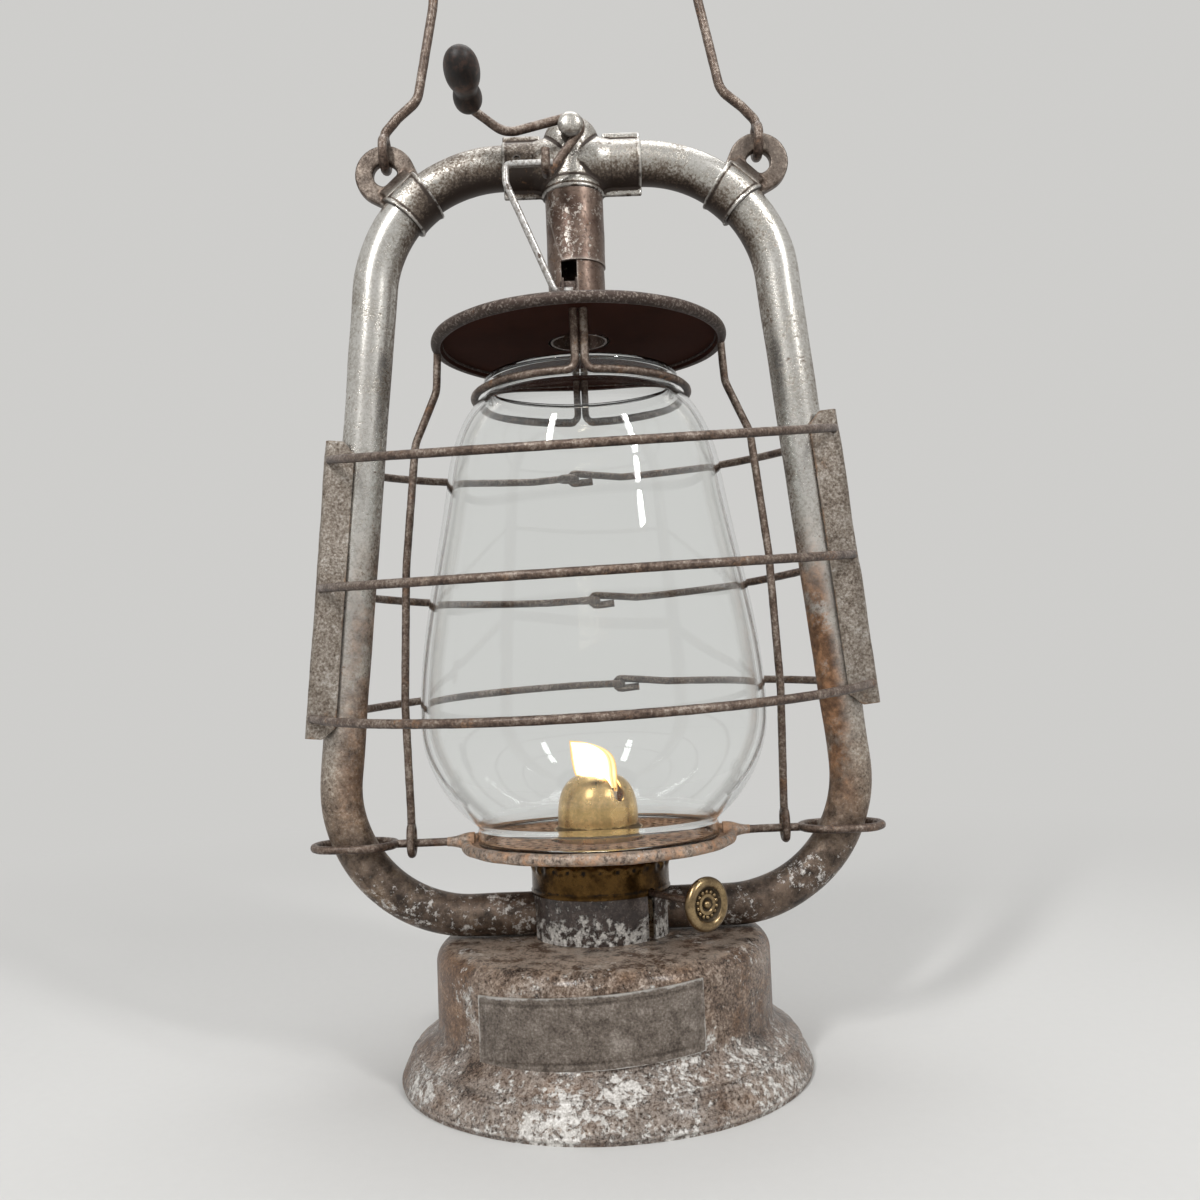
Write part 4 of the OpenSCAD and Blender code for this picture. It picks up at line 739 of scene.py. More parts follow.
def inwards(line, by):
    """An open line moved to the left of its direction."""
    points = []
    for i, p in enumerate(line):
        a, b = line[max(i - 1, 0)], line[min(i + 1, len(line) - 1)]
        length = math.dist(a, b)
        points.append((p[0] - by * (b[1] - a[1]) / length, p[1] + by * (b[0] - a[0]) / length))
    return points


def cubic(a, b, c, d, steps=12):
    """Points along a cubic curve in the plane of an outline."""
    points = []
    for i in range(steps + 1):
        t = i / steps
        s = 1 - t
        weights = (s * s * s, 3 * s * s * t, 3 * s * t * t, t * t * t)
        points.append(tuple(sum(w * p[k] for w, p in zip(weights, (a, b, c, d))) for k in (0, 1)))
    return points


def refine(outline, longest, closed=True):
    """Adds points to an outline, so that no stretch is longer than that."""
    ends = outline[1:] + outline[:1] if closed else outline[1:]
    points = []
    for p, q in zip(outline, ends):
        parts = max(1, math.ceil(math.dist(p, q) / longest))
        points += [tuple(p[k] + (q[k] - p[k]) * j / parts for k in (0, 1)) for j in range(parts)]
    return points if closed else [*points, outline[-1]]


def lathe(name, outline, steps=None, shape=None):
    """Turns a closed outline of radius and height, in millimetres, round the axis."""
    steps = steps or sizes().lathe_steps
    points = []
    for i in range(steps):
        a = 2 * math.pi * i / steps
        for r, z in outline:
            out = r + shape(r, z, a) if shape and r > 0 else r
            points.append((out * math.cos(a), out * math.sin(a), z))
    n = len(outline)
    faces = []
    for i in range(steps):
        j = (i + 1) % steps
        for k in range(n):
            m = (k + 1) % n
            if max(outline[k][0], outline[m][0]) > 1e-6:
                faces.append((i * n + k, j * n + k, j * n + m, i * n + m))
    return tidy(mesh_of(name, points, faces))


def turned(name, outline, shape=None, longest=1.2, steps=None):
    """A turned piece from a closed outline, finely divided, with an optional change of radius by angle."""
    return lathe(name, refine(outline, longest), steps, shape)


def bare(mesh):
    """The mesh without its materials."""
    mesh.materials.clear()
    for face in mesh.polygons:
        face.material_index = 0
    return mesh


def joined(name, *meshes):
    """Several meshes as one."""
    bm = bmesh.new()
    for mesh in meshes:
        bm.from_mesh(mesh)
    made = bpy.data.meshes.new(name)
    bm.to_mesh(made)
    bm.free()
    return bare(made)


def moved(mesh, matrix):
    """The mesh moved to its place, by a matrix in millimetres."""
    at = matrix.copy()
    at.translation = matrix.translation * MM
    mesh.transform(at)
    return mesh


def stand(name, data):
    """A new object in the scene."""
    made = bpy.data.objects.new(name, data)
    bpy.context.scene.collection.objects.link(made)
    return made


def shown(holder):
    """The plain mesh that an object's modifiers make. The object itself goes."""
    bpy.context.view_layer.update()
    made = bpy.data.meshes.new_from_object(holder.evaluated_get(bpy.context.evaluated_depsgraph_get()))
    bpy.data.objects.remove(holder)
    return made


def evaluated(mesh, *modifiers):
    """The plain mesh that modifiers make, each given as its kind and its settings."""
    holder = stand("holder", mesh)
    for kind, settings in modifiers:
        modifier = holder.modifiers.new(kind, kind)
        for name, value in settings.items():
            setattr(modifier, name, value)
    return bare(shown(holder))


def cut(mesh, *cutters):
    """The mesh with the cutters taken away."""
    tool = stand("cutter", joined("cutter", *cutters))
    made = evaluated(mesh, ("BOOLEAN", {"operation": "DIFFERENCE", "solver": "MANIFOLD", "object": tool}))
    bpy.data.objects.remove(tool)
    return made


def fused(mesh, grain, rounds):
    """Overlapping shapes as one soft skin, as if pressed from sheet."""
    remesh = {"mode": "VOXEL", "voxel_size": grain * MM, "use_smooth_shade": True}
    return evaluated(mesh, ("REMESH", remesh), ("SMOOTH", {"factor": 0.5, "iterations": rounds}))


def cylinder(radius, depth, sides=48):
    """A cylinder along Z, its middle at the origin, in millimetres."""
    half = depth / 2
    return lathe("cylinder", [(0, -half), (radius, -half), (radius, half), (0, half)], sides)


def block(size, at=(0, 0, 0)):
    """A box about a point, in millimetres."""
    bm = bmesh.new()
    bmesh.ops.create_cube(bm, size=1)
    bmesh.ops.scale(bm, vec=Vector(size) * MM, verts=bm.verts)
    bmesh.ops.translate(bm, vec=Vector(at) * MM, verts=bm.verts)
    mesh = bpy.data.meshes.new("block")
    bm.to_mesh(mesh)
    bm.free()
    return mesh


def prism(outline, depth):
    """An outline in the plane of X and Y, given a depth along Z about its middle."""
    n = len(outline)
    points = [(*p, z) for z in (-depth / 2, depth / 2) for p in outline]
    faces = [tuple(range(n)), tuple(range(n, 2 * n))]
    faces += [(i, (i + 1) % n, n + (i + 1) % n, n + i) for i in range(n)]
    return tidy(mesh_of("prism", points, faces))


def other_side(mesh):
    """A copy of the mesh on the other side of the lantern."""
    made = mesh.copy()
    made.transform(Matrix.Scale(-1, 4, (1, 0, 0)))
    made.flip_normals()
    return made


def axes(x, y, z, at=(0, 0, 0)):
    """Matrix of a place with those directions, in millimetres."""
    return Matrix.Translation(Vector(at)) @ Matrix((x, y, z)).transposed().to_4x4()


def facing(at):
    """Matrix of a place whose Z points to the front, in millimetres."""
    return axes((1, 0, 0), (0, 0, 1), (0, -1, 0), at)


def slab(name, rows, thickness):
    """A sheet from rows of points with their outward directions, in millimetres, thickened inwards."""
    n = len(rows[0])
    outer = [p for row in rows for p, _ in row]
    inner = [p - thickness * d for row in rows for p, d in row]
    faces = []
    h = len(outer)
    for i in range(len(rows) - 1):
        for k in range(n - 1):
            a, b = i * n + k, i * n + k + 1
            c, d = a + n, b + n
            faces += [(a, b, d, c), (h + a, h + c, h + d, h + b)]
    last = (len(rows) - 1) * n
    for k in range(n - 1):
        faces += [(k, h + k, h + k + 1, k + 1), (last + k, last + k + 1, h + last + k + 1, h + last + k)]
    for i in range(len(rows) - 1):
        a, c = i * n, (i + 1) * n
        faces += [(a, c, h + c, h + a), (a + n - 1, h + a + n - 1, h + c + n - 1, c + n - 1)]
    return tidy(mesh_of(name, outer + inner, faces))


def weather(mesh):
    """Writes masks for the finishes. Hollows are darkened by them as painted shade. Convex edges are
    brightened by most of them, partly as wear and partly as painted highlight. The sides turned away from
    the front and the undersides are darkened as painted shade.
    """
    count = len(mesh.vertices)
    places, normals = np.empty(3 * count), np.empty(3 * count)
    mesh.vertices.foreach_get("co", places)
    mesh.vertex_normals.foreach_get("vector", normals)
    places, normals = places.reshape(-1, 3), normals.reshape(-1, 3)
    ends = np.empty(2 * len(mesh.edges), dtype=int)
    mesh.edges.foreach_get("vertices", ends)
    a, b = ends.reshape(-1, 2).T
    way = places[b] - places[a]
    square = np.maximum((way ** 2).sum(axis=1), (0.1 * MM) ** 2)
    bends, shares = np.zeros(count), np.full(count, 1e-9)
    for start, rise in ((a, (way * normals[a]).sum(axis=1)), (b, -(way * normals[b]).sum(axis=1))):
        np.add.at(bends, start, 2 * rise / square * MM)
        np.add.at(shares, start, 1)
    bends /= shares
    for _ in range(2):
        blurred = bends.copy()
        np.add.at(blurred, a, bends[b])
        np.add.at(blurred, b, bends[a])
        bends = blurred / (1 + shares)
    hollow_from, hollow_span, edge_from, edge_span = 0.02, 0.16, 0.2, 0.3
    sideways, sideways_span, under_share = 0.8, 1.3, 0.8
    # Painted shade: the sides turned away from the front and the undersides
    beside = np.clip(sideways - abs(normals[:, 1]), 0, sideways) / sideways_span
    values = {
        # Painted shade in the hollows
        "painted_hollow_shade": np.clip((bends - hollow_from) / hollow_span, 0, 1),
        # Convex edges: brightened by most finishes, partly as wear and partly as painted highlight
        "edge": np.clip((-bends - edge_from) / edge_span, 0, 1),
        # Painted shade on the sides and the undersides
        "painted_shade": beside + under_share * np.clip(-normals[:, 2], 0, 1),
    }
    for name, value in values.items():
        mesh.attributes.new(name, "FLOAT", "POINT").data.foreach_set("value", value)
    return mesh


def copy_of(node):
    """A merged copy of a node's mesh."""
    mesh = frame["nodes"][node].data.copy()
    mesh.materials.clear()
    bm = bmesh.new()
    bm.from_mesh(mesh)
    bmesh.ops.remove_doubles(bm, verts=bm.verts, dist=2e-6)
    bm.to_mesh(mesh)
    bm.free()
    return mesh


def place(name, mesh, maker, body, slot, *nodes):
    """Makes the finished piece: its material, its body and the nodes that it stands for. The slot is not
    used.
    """
    if not mesh.materials:
        mesh.materials.append(finish(maker))
    piece = stand(name, weather(mesh))
    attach(piece, body)
    if nodes:
        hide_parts(*nodes)


def two_tone(mesh, first, second, is_second):
    """Gives each face the first finish, or the second where that holds."""
    for maker in (first, second):
        mesh.materials.append(finish(maker))
    for face in mesh.polygons:
        face.material_index = int(is_second(face))


def dress(node, maker, body, slot):
    """A smoothly shaded copy of a node in its finish."""
    mesh = evaluated(smooth(copy_of(node)), ("WEIGHTED_NORMAL", {"keep_sharp": True}))
    place(node + "_skin", mesh, maker, body, slot, node)


# Geometry Nodes

class Tree:
    """One Geometry Nodes tree with named inputs."""

    def __init__(self, name, inputs):
        self.group = bpy.data.node_groups.new(name, "GeometryNodeTree")
        self.group.interface.new_socket("Geometry", in_out="INPUT", socket_type="NodeSocketGeometry")
        for label, kind in inputs.items():
            self.group.interface.new_socket(label, in_out="INPUT", socket_type="NodeSocket" + kind)
        self.group.interface.new_socket("Geometry", in_out="OUTPUT", socket_type="NodeSocketGeometry")
        self.given = self.group.nodes.new("NodeGroupInput").outputs

    def add(self, kind, settings=None, **inputs):
        """Adds a node, with its settings and inputs, and returns its first output."""
        node = self.group.nodes.new(kind)
        for name, value in (settings or {}).items():
            setattr(node, name, value)
        for name, value in inputs.items():
            socket = next(s for s in node.inputs if s.name == name.replace("_", " ") and s.enabled)
            if isinstance(value, bpy.types.NodeSocket):
                self.group.links.new(value, socket)
            else:
                socket.default_value = value
        return next((s for s in node.outputs if s.enabled), None)

    def end(self, geometry):
        """Realizes what was made, sets its material and gives it out."""
        real = self.add("GeometryNodeRealizeInstances", Geometry=geometry)
        dressed = self.add("GeometryNodeSetMaterial", Geometry=real, Material=self.given["Material"])
        output = self.group.nodes.new("NodeGroupOutput")
        self.group.links.new(dressed, output.inputs["Geometry"])
        return self.group


def run_tree(group, mesh, values):
    """Runs a tree on a mesh, with its inputs by name, and returns the plain mesh that it makes."""
    holder = stand("holder", mesh)
    modifier = holder.modifiers.new("nodes", "NODES")
    modifier.node_group = group
    sockets = {i.name: i.identifier for i in group.interface.items_tree if i.in_out == "INPUT"}
    for name, value in values.items():
        modifier[sockets[name]] = value
    holder.update_tag()
    return shown(holder)


def wire_tree():
    """Round wire along a path of corners: each corner is bent to its own radius."""
    name = "wire along a path"
    if name in bpy.data.node_groups:
        return bpy.data.node_groups[name]
    inputs = {"Radius": "Float", "Sides": "Int", "Step": "Float", "Wobble": "Float", "Material": "Material"}
    t = Tree(name, inputs)
    path = t.add("GeometryNodeMeshToCurve", Mesh=t.given["Geometry"])
    bend = t.add("GeometryNodeInputNamedAttribute", Name="bend")
    bent = t.add("GeometryNodeFilletCurve", {"mode": "POLY"}, Curve=path, Count=32, Radius=bend,
                 Limit_Radius=True)
    even = t.add("GeometryNodeResampleCurve", {"mode": "LENGTH"}, Curve=bent, Length=t.given["Step"])
    profile = t.add("GeometryNodeCurvePrimitiveCircle", Resolution=t.given["Sides"],
                    Radius=t.given["Radius"])
    girth = t.add("GeometryNodeInputNamedAttribute", Name="girth")
    tube = t.add("GeometryNodeCurveToMesh", Curve=even, Profile_Curve=profile, Scale=girth, Fill_Caps=True)
    grain = t.group.nodes.new("ShaderNodeTexNoise")
    grain.inputs["Scale"].default_value = 260
    grain.inputs["Detail"].default_value = 2
    centred = t.add("ShaderNodeVectorMath", {"operation": "SUBTRACT"}, Vector=grain.outputs["Color"])
    centred.node.inputs[1].default_value = (0.5, 0.5, 0.5)
    scaled = t.add("ShaderNodeVectorMath", {"operation": "SCALE"}, Vector=centred, Scale=t.given["Wobble"])
    worn = t.add("GeometryNodeSetPosition", Geometry=tube, Offset=scaled)
    shaded = t.add("GeometryNodeSetShadeSmooth", Geometry=worn, Shade_Smooth=True)
    return t.end(shaded)


def bead_tree():
    """A round bead on each point."""
    t = Tree("beads on points", {"Radius": "Float", "Material": "Material"})
    ball = t.add("GeometryNodeMeshUVSphere", Segments=16, Rings=10, Radius=t.given["Radius"])
    beads = t.add("GeometryNodeInstanceOnPoints", Points=t.given["Geometry"], Instance=ball)
    return t.end(t.add("GeometryNodeSetShadeSmooth", Geometry=beads, Shade_Smooth=True))


def hole_tree():
    """A sheet pierced at each point, right through along Z."""
    inputs = {"Sheet": "Object", "Radius": "Float", "Depth": "Float", "Material": "Material"}
    t = Tree("holes at points", inputs)
    drill = t.add("GeometryNodeMeshCylinder", Vertices=10, Radius=t.given["Radius"], Depth=t.given["Depth"])
    drills = t.add("GeometryNodeInstanceOnPoints", Points=t.given["Geometry"], Instance=drill)
    sheet = t.group.nodes.new("GeometryNodeObjectInfo")
    t.group.links.new(t.given["Sheet"], sheet.inputs["Object"])
    real = t.add("GeometryNodeRealizeInstances", Geometry=drills)
    pierced = t.group.nodes.new("GeometryNodeMeshBoolean")
    pierced.operation = "DIFFERENCE"
    pierced.solver = "MANIFOLD"
    t.group.links.new(sheet.outputs["Geometry"], pierced.inputs["Mesh 1"])
    t.group.links.new(real, pierced.inputs["Mesh 2"])
    return t.end(pierced.outputs["Mesh"])


def wire_mesh(paths, diameter, maker, step=None, sides=None, wobble=None):
    """Mesh of one or more wires, each a path of corners with their bend radii and girths."""
    points, edges, bends, girths = [], [], [], []
    for path in paths:
        corners = path["corners"]
        first = len(points)
        points += [Vector(p) for p in corners]
        edges += [(first + i, first + i + 1) for i in range(len(corners) - 1)]
        if path.get("closed"):
            edges.append((first + len(corners) - 1, first))
        bends += path.get("bends") or [0.0] * len(corners)
        girths += path.get("girth") or [1.0] * len(corners)
    mesh = mesh_of("wire", points, edges=edges)
    for name, values, unit in (("bend", bends, MM), ("girth", girths, 1.0)):
        attribute = mesh.attributes.new(name, "FLOAT", "POINT")
        attribute.data.foreach_set("value", [v * unit for v in values])
    s = sizes()
    return run_tree(wire_tree(), mesh, {
        "Radius": diameter / 2 * MM, "Sides": sides or s.wire_sides, "Step": step or s.wire_step,
        "Wobble": s.wire_wobble if wobble is None else wobble, "Material": finish(maker)})


def route(corners, bends):
    """One wire path whose inner corners have the given bend radii."""
    return {"corners": corners, "bends": [0.0, *bends, 0.0]}


def circle(centre, radius, across, along, start=0, end=360, steps=24):
    """Points round a circle in the plane of two directions."""
    c, u, v = Vector(centre), Vector(across), Vector(along)
    turns = [math.radians(start + (end - start) * i / steps) for i in range(steps + 1)]
    return [c + radius * (u * math.cos(a) + v * math.sin(a)) for a in turns]


def ring(centre, radius, across, along, steps=24):
    """One closed wire path round a circle."""
    return {"corners": circle(centre, radius, across, along, steps=steps)[:-1], "closed": True}


def mirrored(points):
    """The same points on the other side."""
    return [Vector((-p[0], p[1], p[2])) for p in points]


def mirrored_paths(paths):
    """The same wire paths on the other side."""
    return [{**path, "corners": mirrored(path["corners"])} for path in paths]


def tube_route():
    """Right air tube, from the collar up to the tee."""
    corners = [(TUBE_LOW_END, 0, TUBE_LOW_Z), (TUBE_LOW_X, 0, TUBE_LOW_Z),
               (TUBE_TOP_X, 0, TUBE_TOP_Z), (TUBE_TOP_END, 0, TUBE_TOP_Z)]
    girth = [TUBE_LOW_D / TUBE_TOP_D] * 2 + [1.0] * 2
    return {"corners": corners, "bends": [0, BEND_LOW_R, BEND_TOP_R, 0], "girth": girth}


def bail_routes():
    """The bail's wire and its two eyes."""
    eye_r = 5.5
    p = Vector((high("bail").x - BAIL_D / 2, 0, BAIL_Z))
    top = high("bail").z - BAIL_D / 2
    side = [p + Vector(v) for v in ((0, 0, eye_r), (0, 0, eye_r + 1.4), (-0.4, 0, eye_r + 2.8),
                                    (-4.8, 0, 13.4), (-12.4, 0, 20))]
    side += [Vector((48.5, 0, p.z + 56)), Vector((45.5, 0, top))]
    bends = [1, 2.5, 7, 9, 40, 42]
    arch = route(side + mirrored(side)[::-1], bends + bends[::-1])
    eye = ring(p, eye_r, (0, 0, 1), (0, 1, 0))
    return [arch, eye, *mirrored_paths([eye])]


def crank_route():
    """The crank's one wire: grip spindle, lever, eye round its pin, lifting arm and hook."""
    eye_r, bend, elbow, arm, spindle = 3.58, 2.4, 9, 19.8, 31.3
    hook_room, hook_tip = Vector((0, -7.6, 0)), Vector((0, 0, 6.4))
    arm_turn = math.radians(27)
    hook = arm * Vector((-math.sin(arm_turn), 0, -math.cos(arm_turn)))
    lever = Vector((-22.8, 0, -1.7))
    grip = pivot("grip_spin") - CRANK
    grip.y = 0
    lever_side = math.atan2(lever.z, lever.x) + 2 * math.pi - math.acos(eye_r / lever.length)
    hook_side = math.atan2(hook.z, hook.x) + 2 * math.pi + math.acos(eye_r / hook.length)
    half = (lever_side + 2 * math.pi - hook_side) / 2
    middle = (lever_side + hook_side - 2 * math.pi) / 2
    eye = eye_r / math.cos(half) * Vector((math.cos(middle), 0, math.sin(middle)))
    points = [grip - spindle * Vector((0, 1, 0)), grip, lever, eye, hook, hook + hook_room,
              hook + hook_room + hook_tip]
    return route([CRANK + p for p in points], [bend, elbow, eye_r, bend, bend])


def rod_route():
    """The lift rod: bar over the hook, long diagonal and the end in its bracket."""
    first, last = (f("lift_rod") for f in (low, high))
    bar_z, bar_y = last.z - ROD_D / 2, first.y + ROD_D / 2
    left = first.x + ROD_D / 2
    eye_z, eye_y = first.z + ROD_D / 2, last.y - ROD_D / 2
    bar_end, drop, eye_in, eye_end = -6.6, 6.6, -7.7, -1.3
    return route([(bar_end, bar_y, bar_z), (left, bar_y, bar_z), (left, bar_y, bar_z - drop),
                  (eye_in, eye_y, eye_z), (eye_end, eye_y, eye_z)], [2, 4, 2])


def globe_ring_route():
    """Half ring round the globe's neck on the left, both ends turned up to the hood."""
    r, up_r, apart = 38.1, 3.0, 0.15
    z = GLOBE_TOP - 6.6
    turn = math.asin((CARRIAGE_D / 2 + apart + up_r) / r)
    side = Vector((-math.sin(turn), -math.cos(turn), 0))
    along = Vector((math.cos(turn), -math.sin(turn), 0))
    prong = r * side + up_r * along + Vector((0, 0, z))
    top = Vector((prong.x, prong.y, HOOD_LOW))
    around = circle((0, 0, z), r, (0, -1, 0), (-1, 0, 0), math.degrees(turn), 180 - math.degrees(turn), 40)
    back = [Vector((p.x, -p.y, p.z)) for p in (prong, top)]
    corners = [top, prong, *around, *back]
    return {"corners": corners, "bends": [0, up_r, *[0] * len(around), up_r, 0]}


def side_wire_routes():
    """Right side wire and the long eye at its foot."""
    foot_x, eye_r = 65.3, 3.2
    eye_top = ROD_Z + 3
    top_x = high("hood").x - 1.9
    rim_z = HOOD_LOW - 0.4
    belly_z = PLATE_TOP + SEAT_GAP + 43
    drop = route([(top_x, 0, rim_z - 0.2), (top_x + 0.8, 0, HOOD_LOW - 16), (60.0, 0, HOOD_LOW - 35),
                  (64.5, 0, HOOD_LOW - 79), (66.3, 0, belly_z + 6), (foot_x, 0, eye_top + eye_r + 3),
                  (foot_x, 0, eye_top + eye_r)], [12, 14, 80, 120, 6])
    eye = circle((foot_x, 0, eye_top), eye_r, (0, 1, 0), (0, 0, 1), 0, 180, 14)
    eye += circle((foot_x, 0, ROD_Z - 0.6), eye_r, (0, -1, 0), (0, 0, -1), 0, 180, 14)
    return [drop, {"corners": eye, "closed": True}]


def guide_routes():
    """Right guide rod and the loop round the air tube."""
    loop_r, loop_out, loop_in = 10.0, 99.1, 71.0
    rod = route([(PLATE_R + 0.6, 0, ROD_Z), (loop_in, 0, ROD_Z)], [])
    loop = circle((loop_out - loop_r, 0, ROD_Z), loop_r, (0, -1, 0), (1, 0, 0), 0, 180, 18)
    loop += circle((loop_in + loop_r, 0, ROD_Z), loop_r, (0, 1, 0), (-1, 0, 0), 0, 180, 18)
    return [rod, {"corners": loop, "closed": True}]


GUARD_Z, GUARD_DROP, GUARD_PITCH, GUARD_FRONT = 171.2, 4.4, 45.0, 70.0
GUARD_LEAD = math.radians(20)
GUARD_WIRE_OUT = 9.8
GUARD_WIRES = {"guard_wire_upper": (1, 12.3, 1, -4), "guard_wire_middle": (0, 5.5, -5, 3),
               "guard_wire_lower": (-1, 3.5, 5.2, 12)}
LINK_R, HOOK_R = 3.4, 2.1


def on_tube(z):
    """Middle of the right tube's straight side at a height."""
    return Vector((TUBE_LOW_X + (z - TUBE_LOW_Z) * TUBE_UP.x / TUBE_UP.z, 0, z))


def bend_points(p, q, s, radius, steps=72):
    """Points round the bend at q, on the way from p to s."""
    a, b = (q - p).normalized(), (s - q).normalized()
    turn = a.angle(b)
    centre = q + (b - a).normalized() * radius / math.cos(turn / 2)
    start = (q - a * radius * math.tan(turn / 2) - centre).normalized()
    turns = [turn * i / steps for i in range(steps + 1)]
    return [centre + radius * (start * math.cos(t) + a * math.sin(t)) for t in turns]


def guard_routes(step, droop, rise, aside):
    """One guard wire: through both plates, round the front, and hooked together behind."""
    right, left = (on_tube(z) + GUARD_WIRE_OUT * TUBE_OUT + step * GUARD_PITCH * TUBE_UP
                   for z in (GUARD_Z, GUARD_Z - GUARD_DROP))
    left.x = -left.x
    x, z = (right.x - left.x) / 2, (right.z + left.z) / 2
    through = Vector((0, high("right_guard_plate").y + 1, 0))
    reach = x / math.tan(GUARD_LEAD)
    bend = (reach + through.y - GUARD_FRONT) / (1 / math.sin(GUARD_LEAD) - 1)
    share = reach / (GUARD_FRONT - through.y)
    front = Vector((0, -through.y - reach, z - droop * share))
    back = Vector((0, through.y + reach, z + rise * share))
    link = Vector((aside, GUARD_FRONT - LINK_R, z + rise))
    hook = Vector((0.9 * LINK_R, 0, 0))
    turn_back = circle(link, HOOK_R, (1, 0, 0), (0, 0, 1), 90, 270, 16)
    tail = turn_back[-1] + Vector((3.6 * HOOK_R, 0, 0.3 * HOOK_R))
    ahead = [p for p in bend_points(left - through, front, right - through, bend) if p.y < -through.y]
    behind = [p for p in bend_points(right + through, back, left + through, bend) if p.y > through.y]
    clear = 5 * LINK_R
    corners = [link - hook - Vector((LINK_R, 0, 0)), *[p for p in behind if p.x < aside - clear]]
    corners += [left + through, left - through, *ahead, right - through, right + through]
    corners += [*[p for p in behind if p.x > aside + clear], *turn_back, tail]
    return [{"corners": corners}, ring(link - hook, LINK_R, (-1, 0, 0), (0, 1, 0), 20)]


# Operators

class LanternOperator(bpy.types.Operator):
    """Builds one group of the lantern's pieces."""

    bl_options = {"REGISTER"}

    def execute(self, context):
        self.build()
        return {"FINISHED"}


SHEET = 0.9
VOXEL = 0.42
FOUNT_R = 57.3
SKIRT_TOP = (FOUNT_R + 3, 15.0)
SHOULDER = 6.0


class LANTERN_OT_fount(LanternOperator):
    """Fount shell, its pan, the bare plate, and the filler neck with its cap"""

    bl_idname = "lantern.fount"
    bl_label = "Fount"

    def build(self):
        self.shell()
        self.bare_plate()
        for node in ("fount_bottom", "filler_neck"):
            dress(node, fount_patina, "frame", "fount_steel")
        dress("filler_cap", fount_patina, "cap", "fount_steel")
        dress("filler_seal", seal_leather, "cap_seal", "seal_leather")

    def shell(self):
        """Pressed shell with a flared skirt, two low ridges round it and a soft shoulder."""
        throat, rim, groove, hem, neck_hole = 13.5, 3.0, 0.7, 0.8, 9.2
        ridges, ridge_high, ridge_wide = (8.6, 11.4), 0.8, 0.5
        corner = (FOUNT_R - SHOULDER, FOUNT_TOP - SHOULDER)
        outside = [(BASE_R - 0.4, 0), *arc((BASE_R - hem, rim / 2), hem, -60, 60, 6)]
        flare = (SKIRT_TOP[0] + 1.6, SKIRT_TOP[1] - 1.5)
        outside += bulge((BASE_R - groove, rim + 0.4), flare, 30)
        outside += cubic(flare, (FOUNT_R + 1.6, 15.2), (FOUNT_R, 16.4), (FOUNT_R, 19.0), 14)[1:]
        outside += [*arc(corner, SHOULDER, 0, 90, 14), (throat, FOUNT_TOP)]
        inside = [(throat, FOUNT_TOP - SHEET), *arc(corner, SHOULDER - SHEET, 90, 0, 8)]
        inside += [(FOUNT_R - SHEET, SKIRT_TOP[1] + 1.4), (SKIRT_TOP[0] - SHEET, SKIRT_TOP[1] - SHEET)]
        inside += [(BASE_R - rim, rim), (BASE_R - rim, 0)]

        def ridge(r, z, a):
            return sum(ridge_high * math.exp(-((z - at) / ridge_wide) ** 2) for at in ridges)

        neck = (low("filler_neck") + high("filler_neck")) / 2
        drill = moved(cylinder(neck_hole, 8), Matrix.Translation((neck.x, neck.y, FOUNT_TOP)))
        shell = cut(turned("fount_shell", outside + inside, ridge), drill)
        shell = smooth(dent(shell, sizes().dents, size=0.022, seed=3.0), 50)
        place("fount_shell_skin", shell, fount_patina, "frame", "fount_steel", "fount_shell")

    def bare_plate(self):
        """Bare rectangular plate on the front, with a pressed border and pale edges, partly worn and partly
        painted highlight on the top and left.
        """
        thick, radius = 0.6, FOUNT_R + 0.7
        bottom, top = low("blank_plate").z, high("blank_plate").z
        half = 37.0 / FOUNT_R
        middle = math.radians(264)
        tilt = math.tan(math.radians(3.2))
        border, groove, groove_w, wear_and_highlight_width = 2.2, 0.22, 0.45, 2.6
        across, up = 120, 44

        def edge(side, z):
            return min((half - abs(side)) * radius, z - bottom, top - z)

        # Distance to the pale edge bands, partly wear and partly painted highlight: the bands are widest
        # along the top and left edges, where light falls
        def wear_and_highlight_distance(side, z):
            return min((half + side) * radius, 2 * (half - side) * radius, 3 * (z - bottom), 0.8 * (top - z))

        rows = []
        for i in range(up + 1):
            z = bottom + (top - bottom) * i / up
            row = []
            for k in range(across + 1):
                side = half * (2 * k / across - 1)
                out = Vector((math.cos(middle + side), math.sin(middle + side), 0))
                sunk = groove * math.exp(-((edge(side, z) - border) / groove_w) ** 2)
                row.append((out * (radius - sunk) + UP * (z + tilt * side * radius), out))
            rows.append(row)
        mesh = smooth(slab("blank_plate", rows, thick), 50)
        # Mask of edge wear and painted highlight, read by the plate's finish
        edge_wear_and_highlight = mesh.attributes.new("edge_wear_and_highlight", "FLOAT", "POINT")
        for vertex, value in zip(mesh.vertices, edge_wear_and_highlight.data):
            p = vertex.co / MM
            side = (math.atan2(p.y, p.x) - middle + math.pi) % (2 * math.pi) - math.pi
            value.value = max(0.0, 1 - wear_and_highlight_distance(side, p.z - tilt * side * radius) / wear_and_highlight_width)
        place("blank_plate_skin", mesh, bare_patina, "frame", "fount_steel", "blank_plate")


SHAFT = Vector(JOINTS["wick_knob_turn"]["axis"])
ACROSS = Vector((-SHAFT.y, SHAFT.x, 0))
CONE_Z = low("burner_cone").z
DOME_TOP = high("burner_cone").z
DOME_R = 14.1


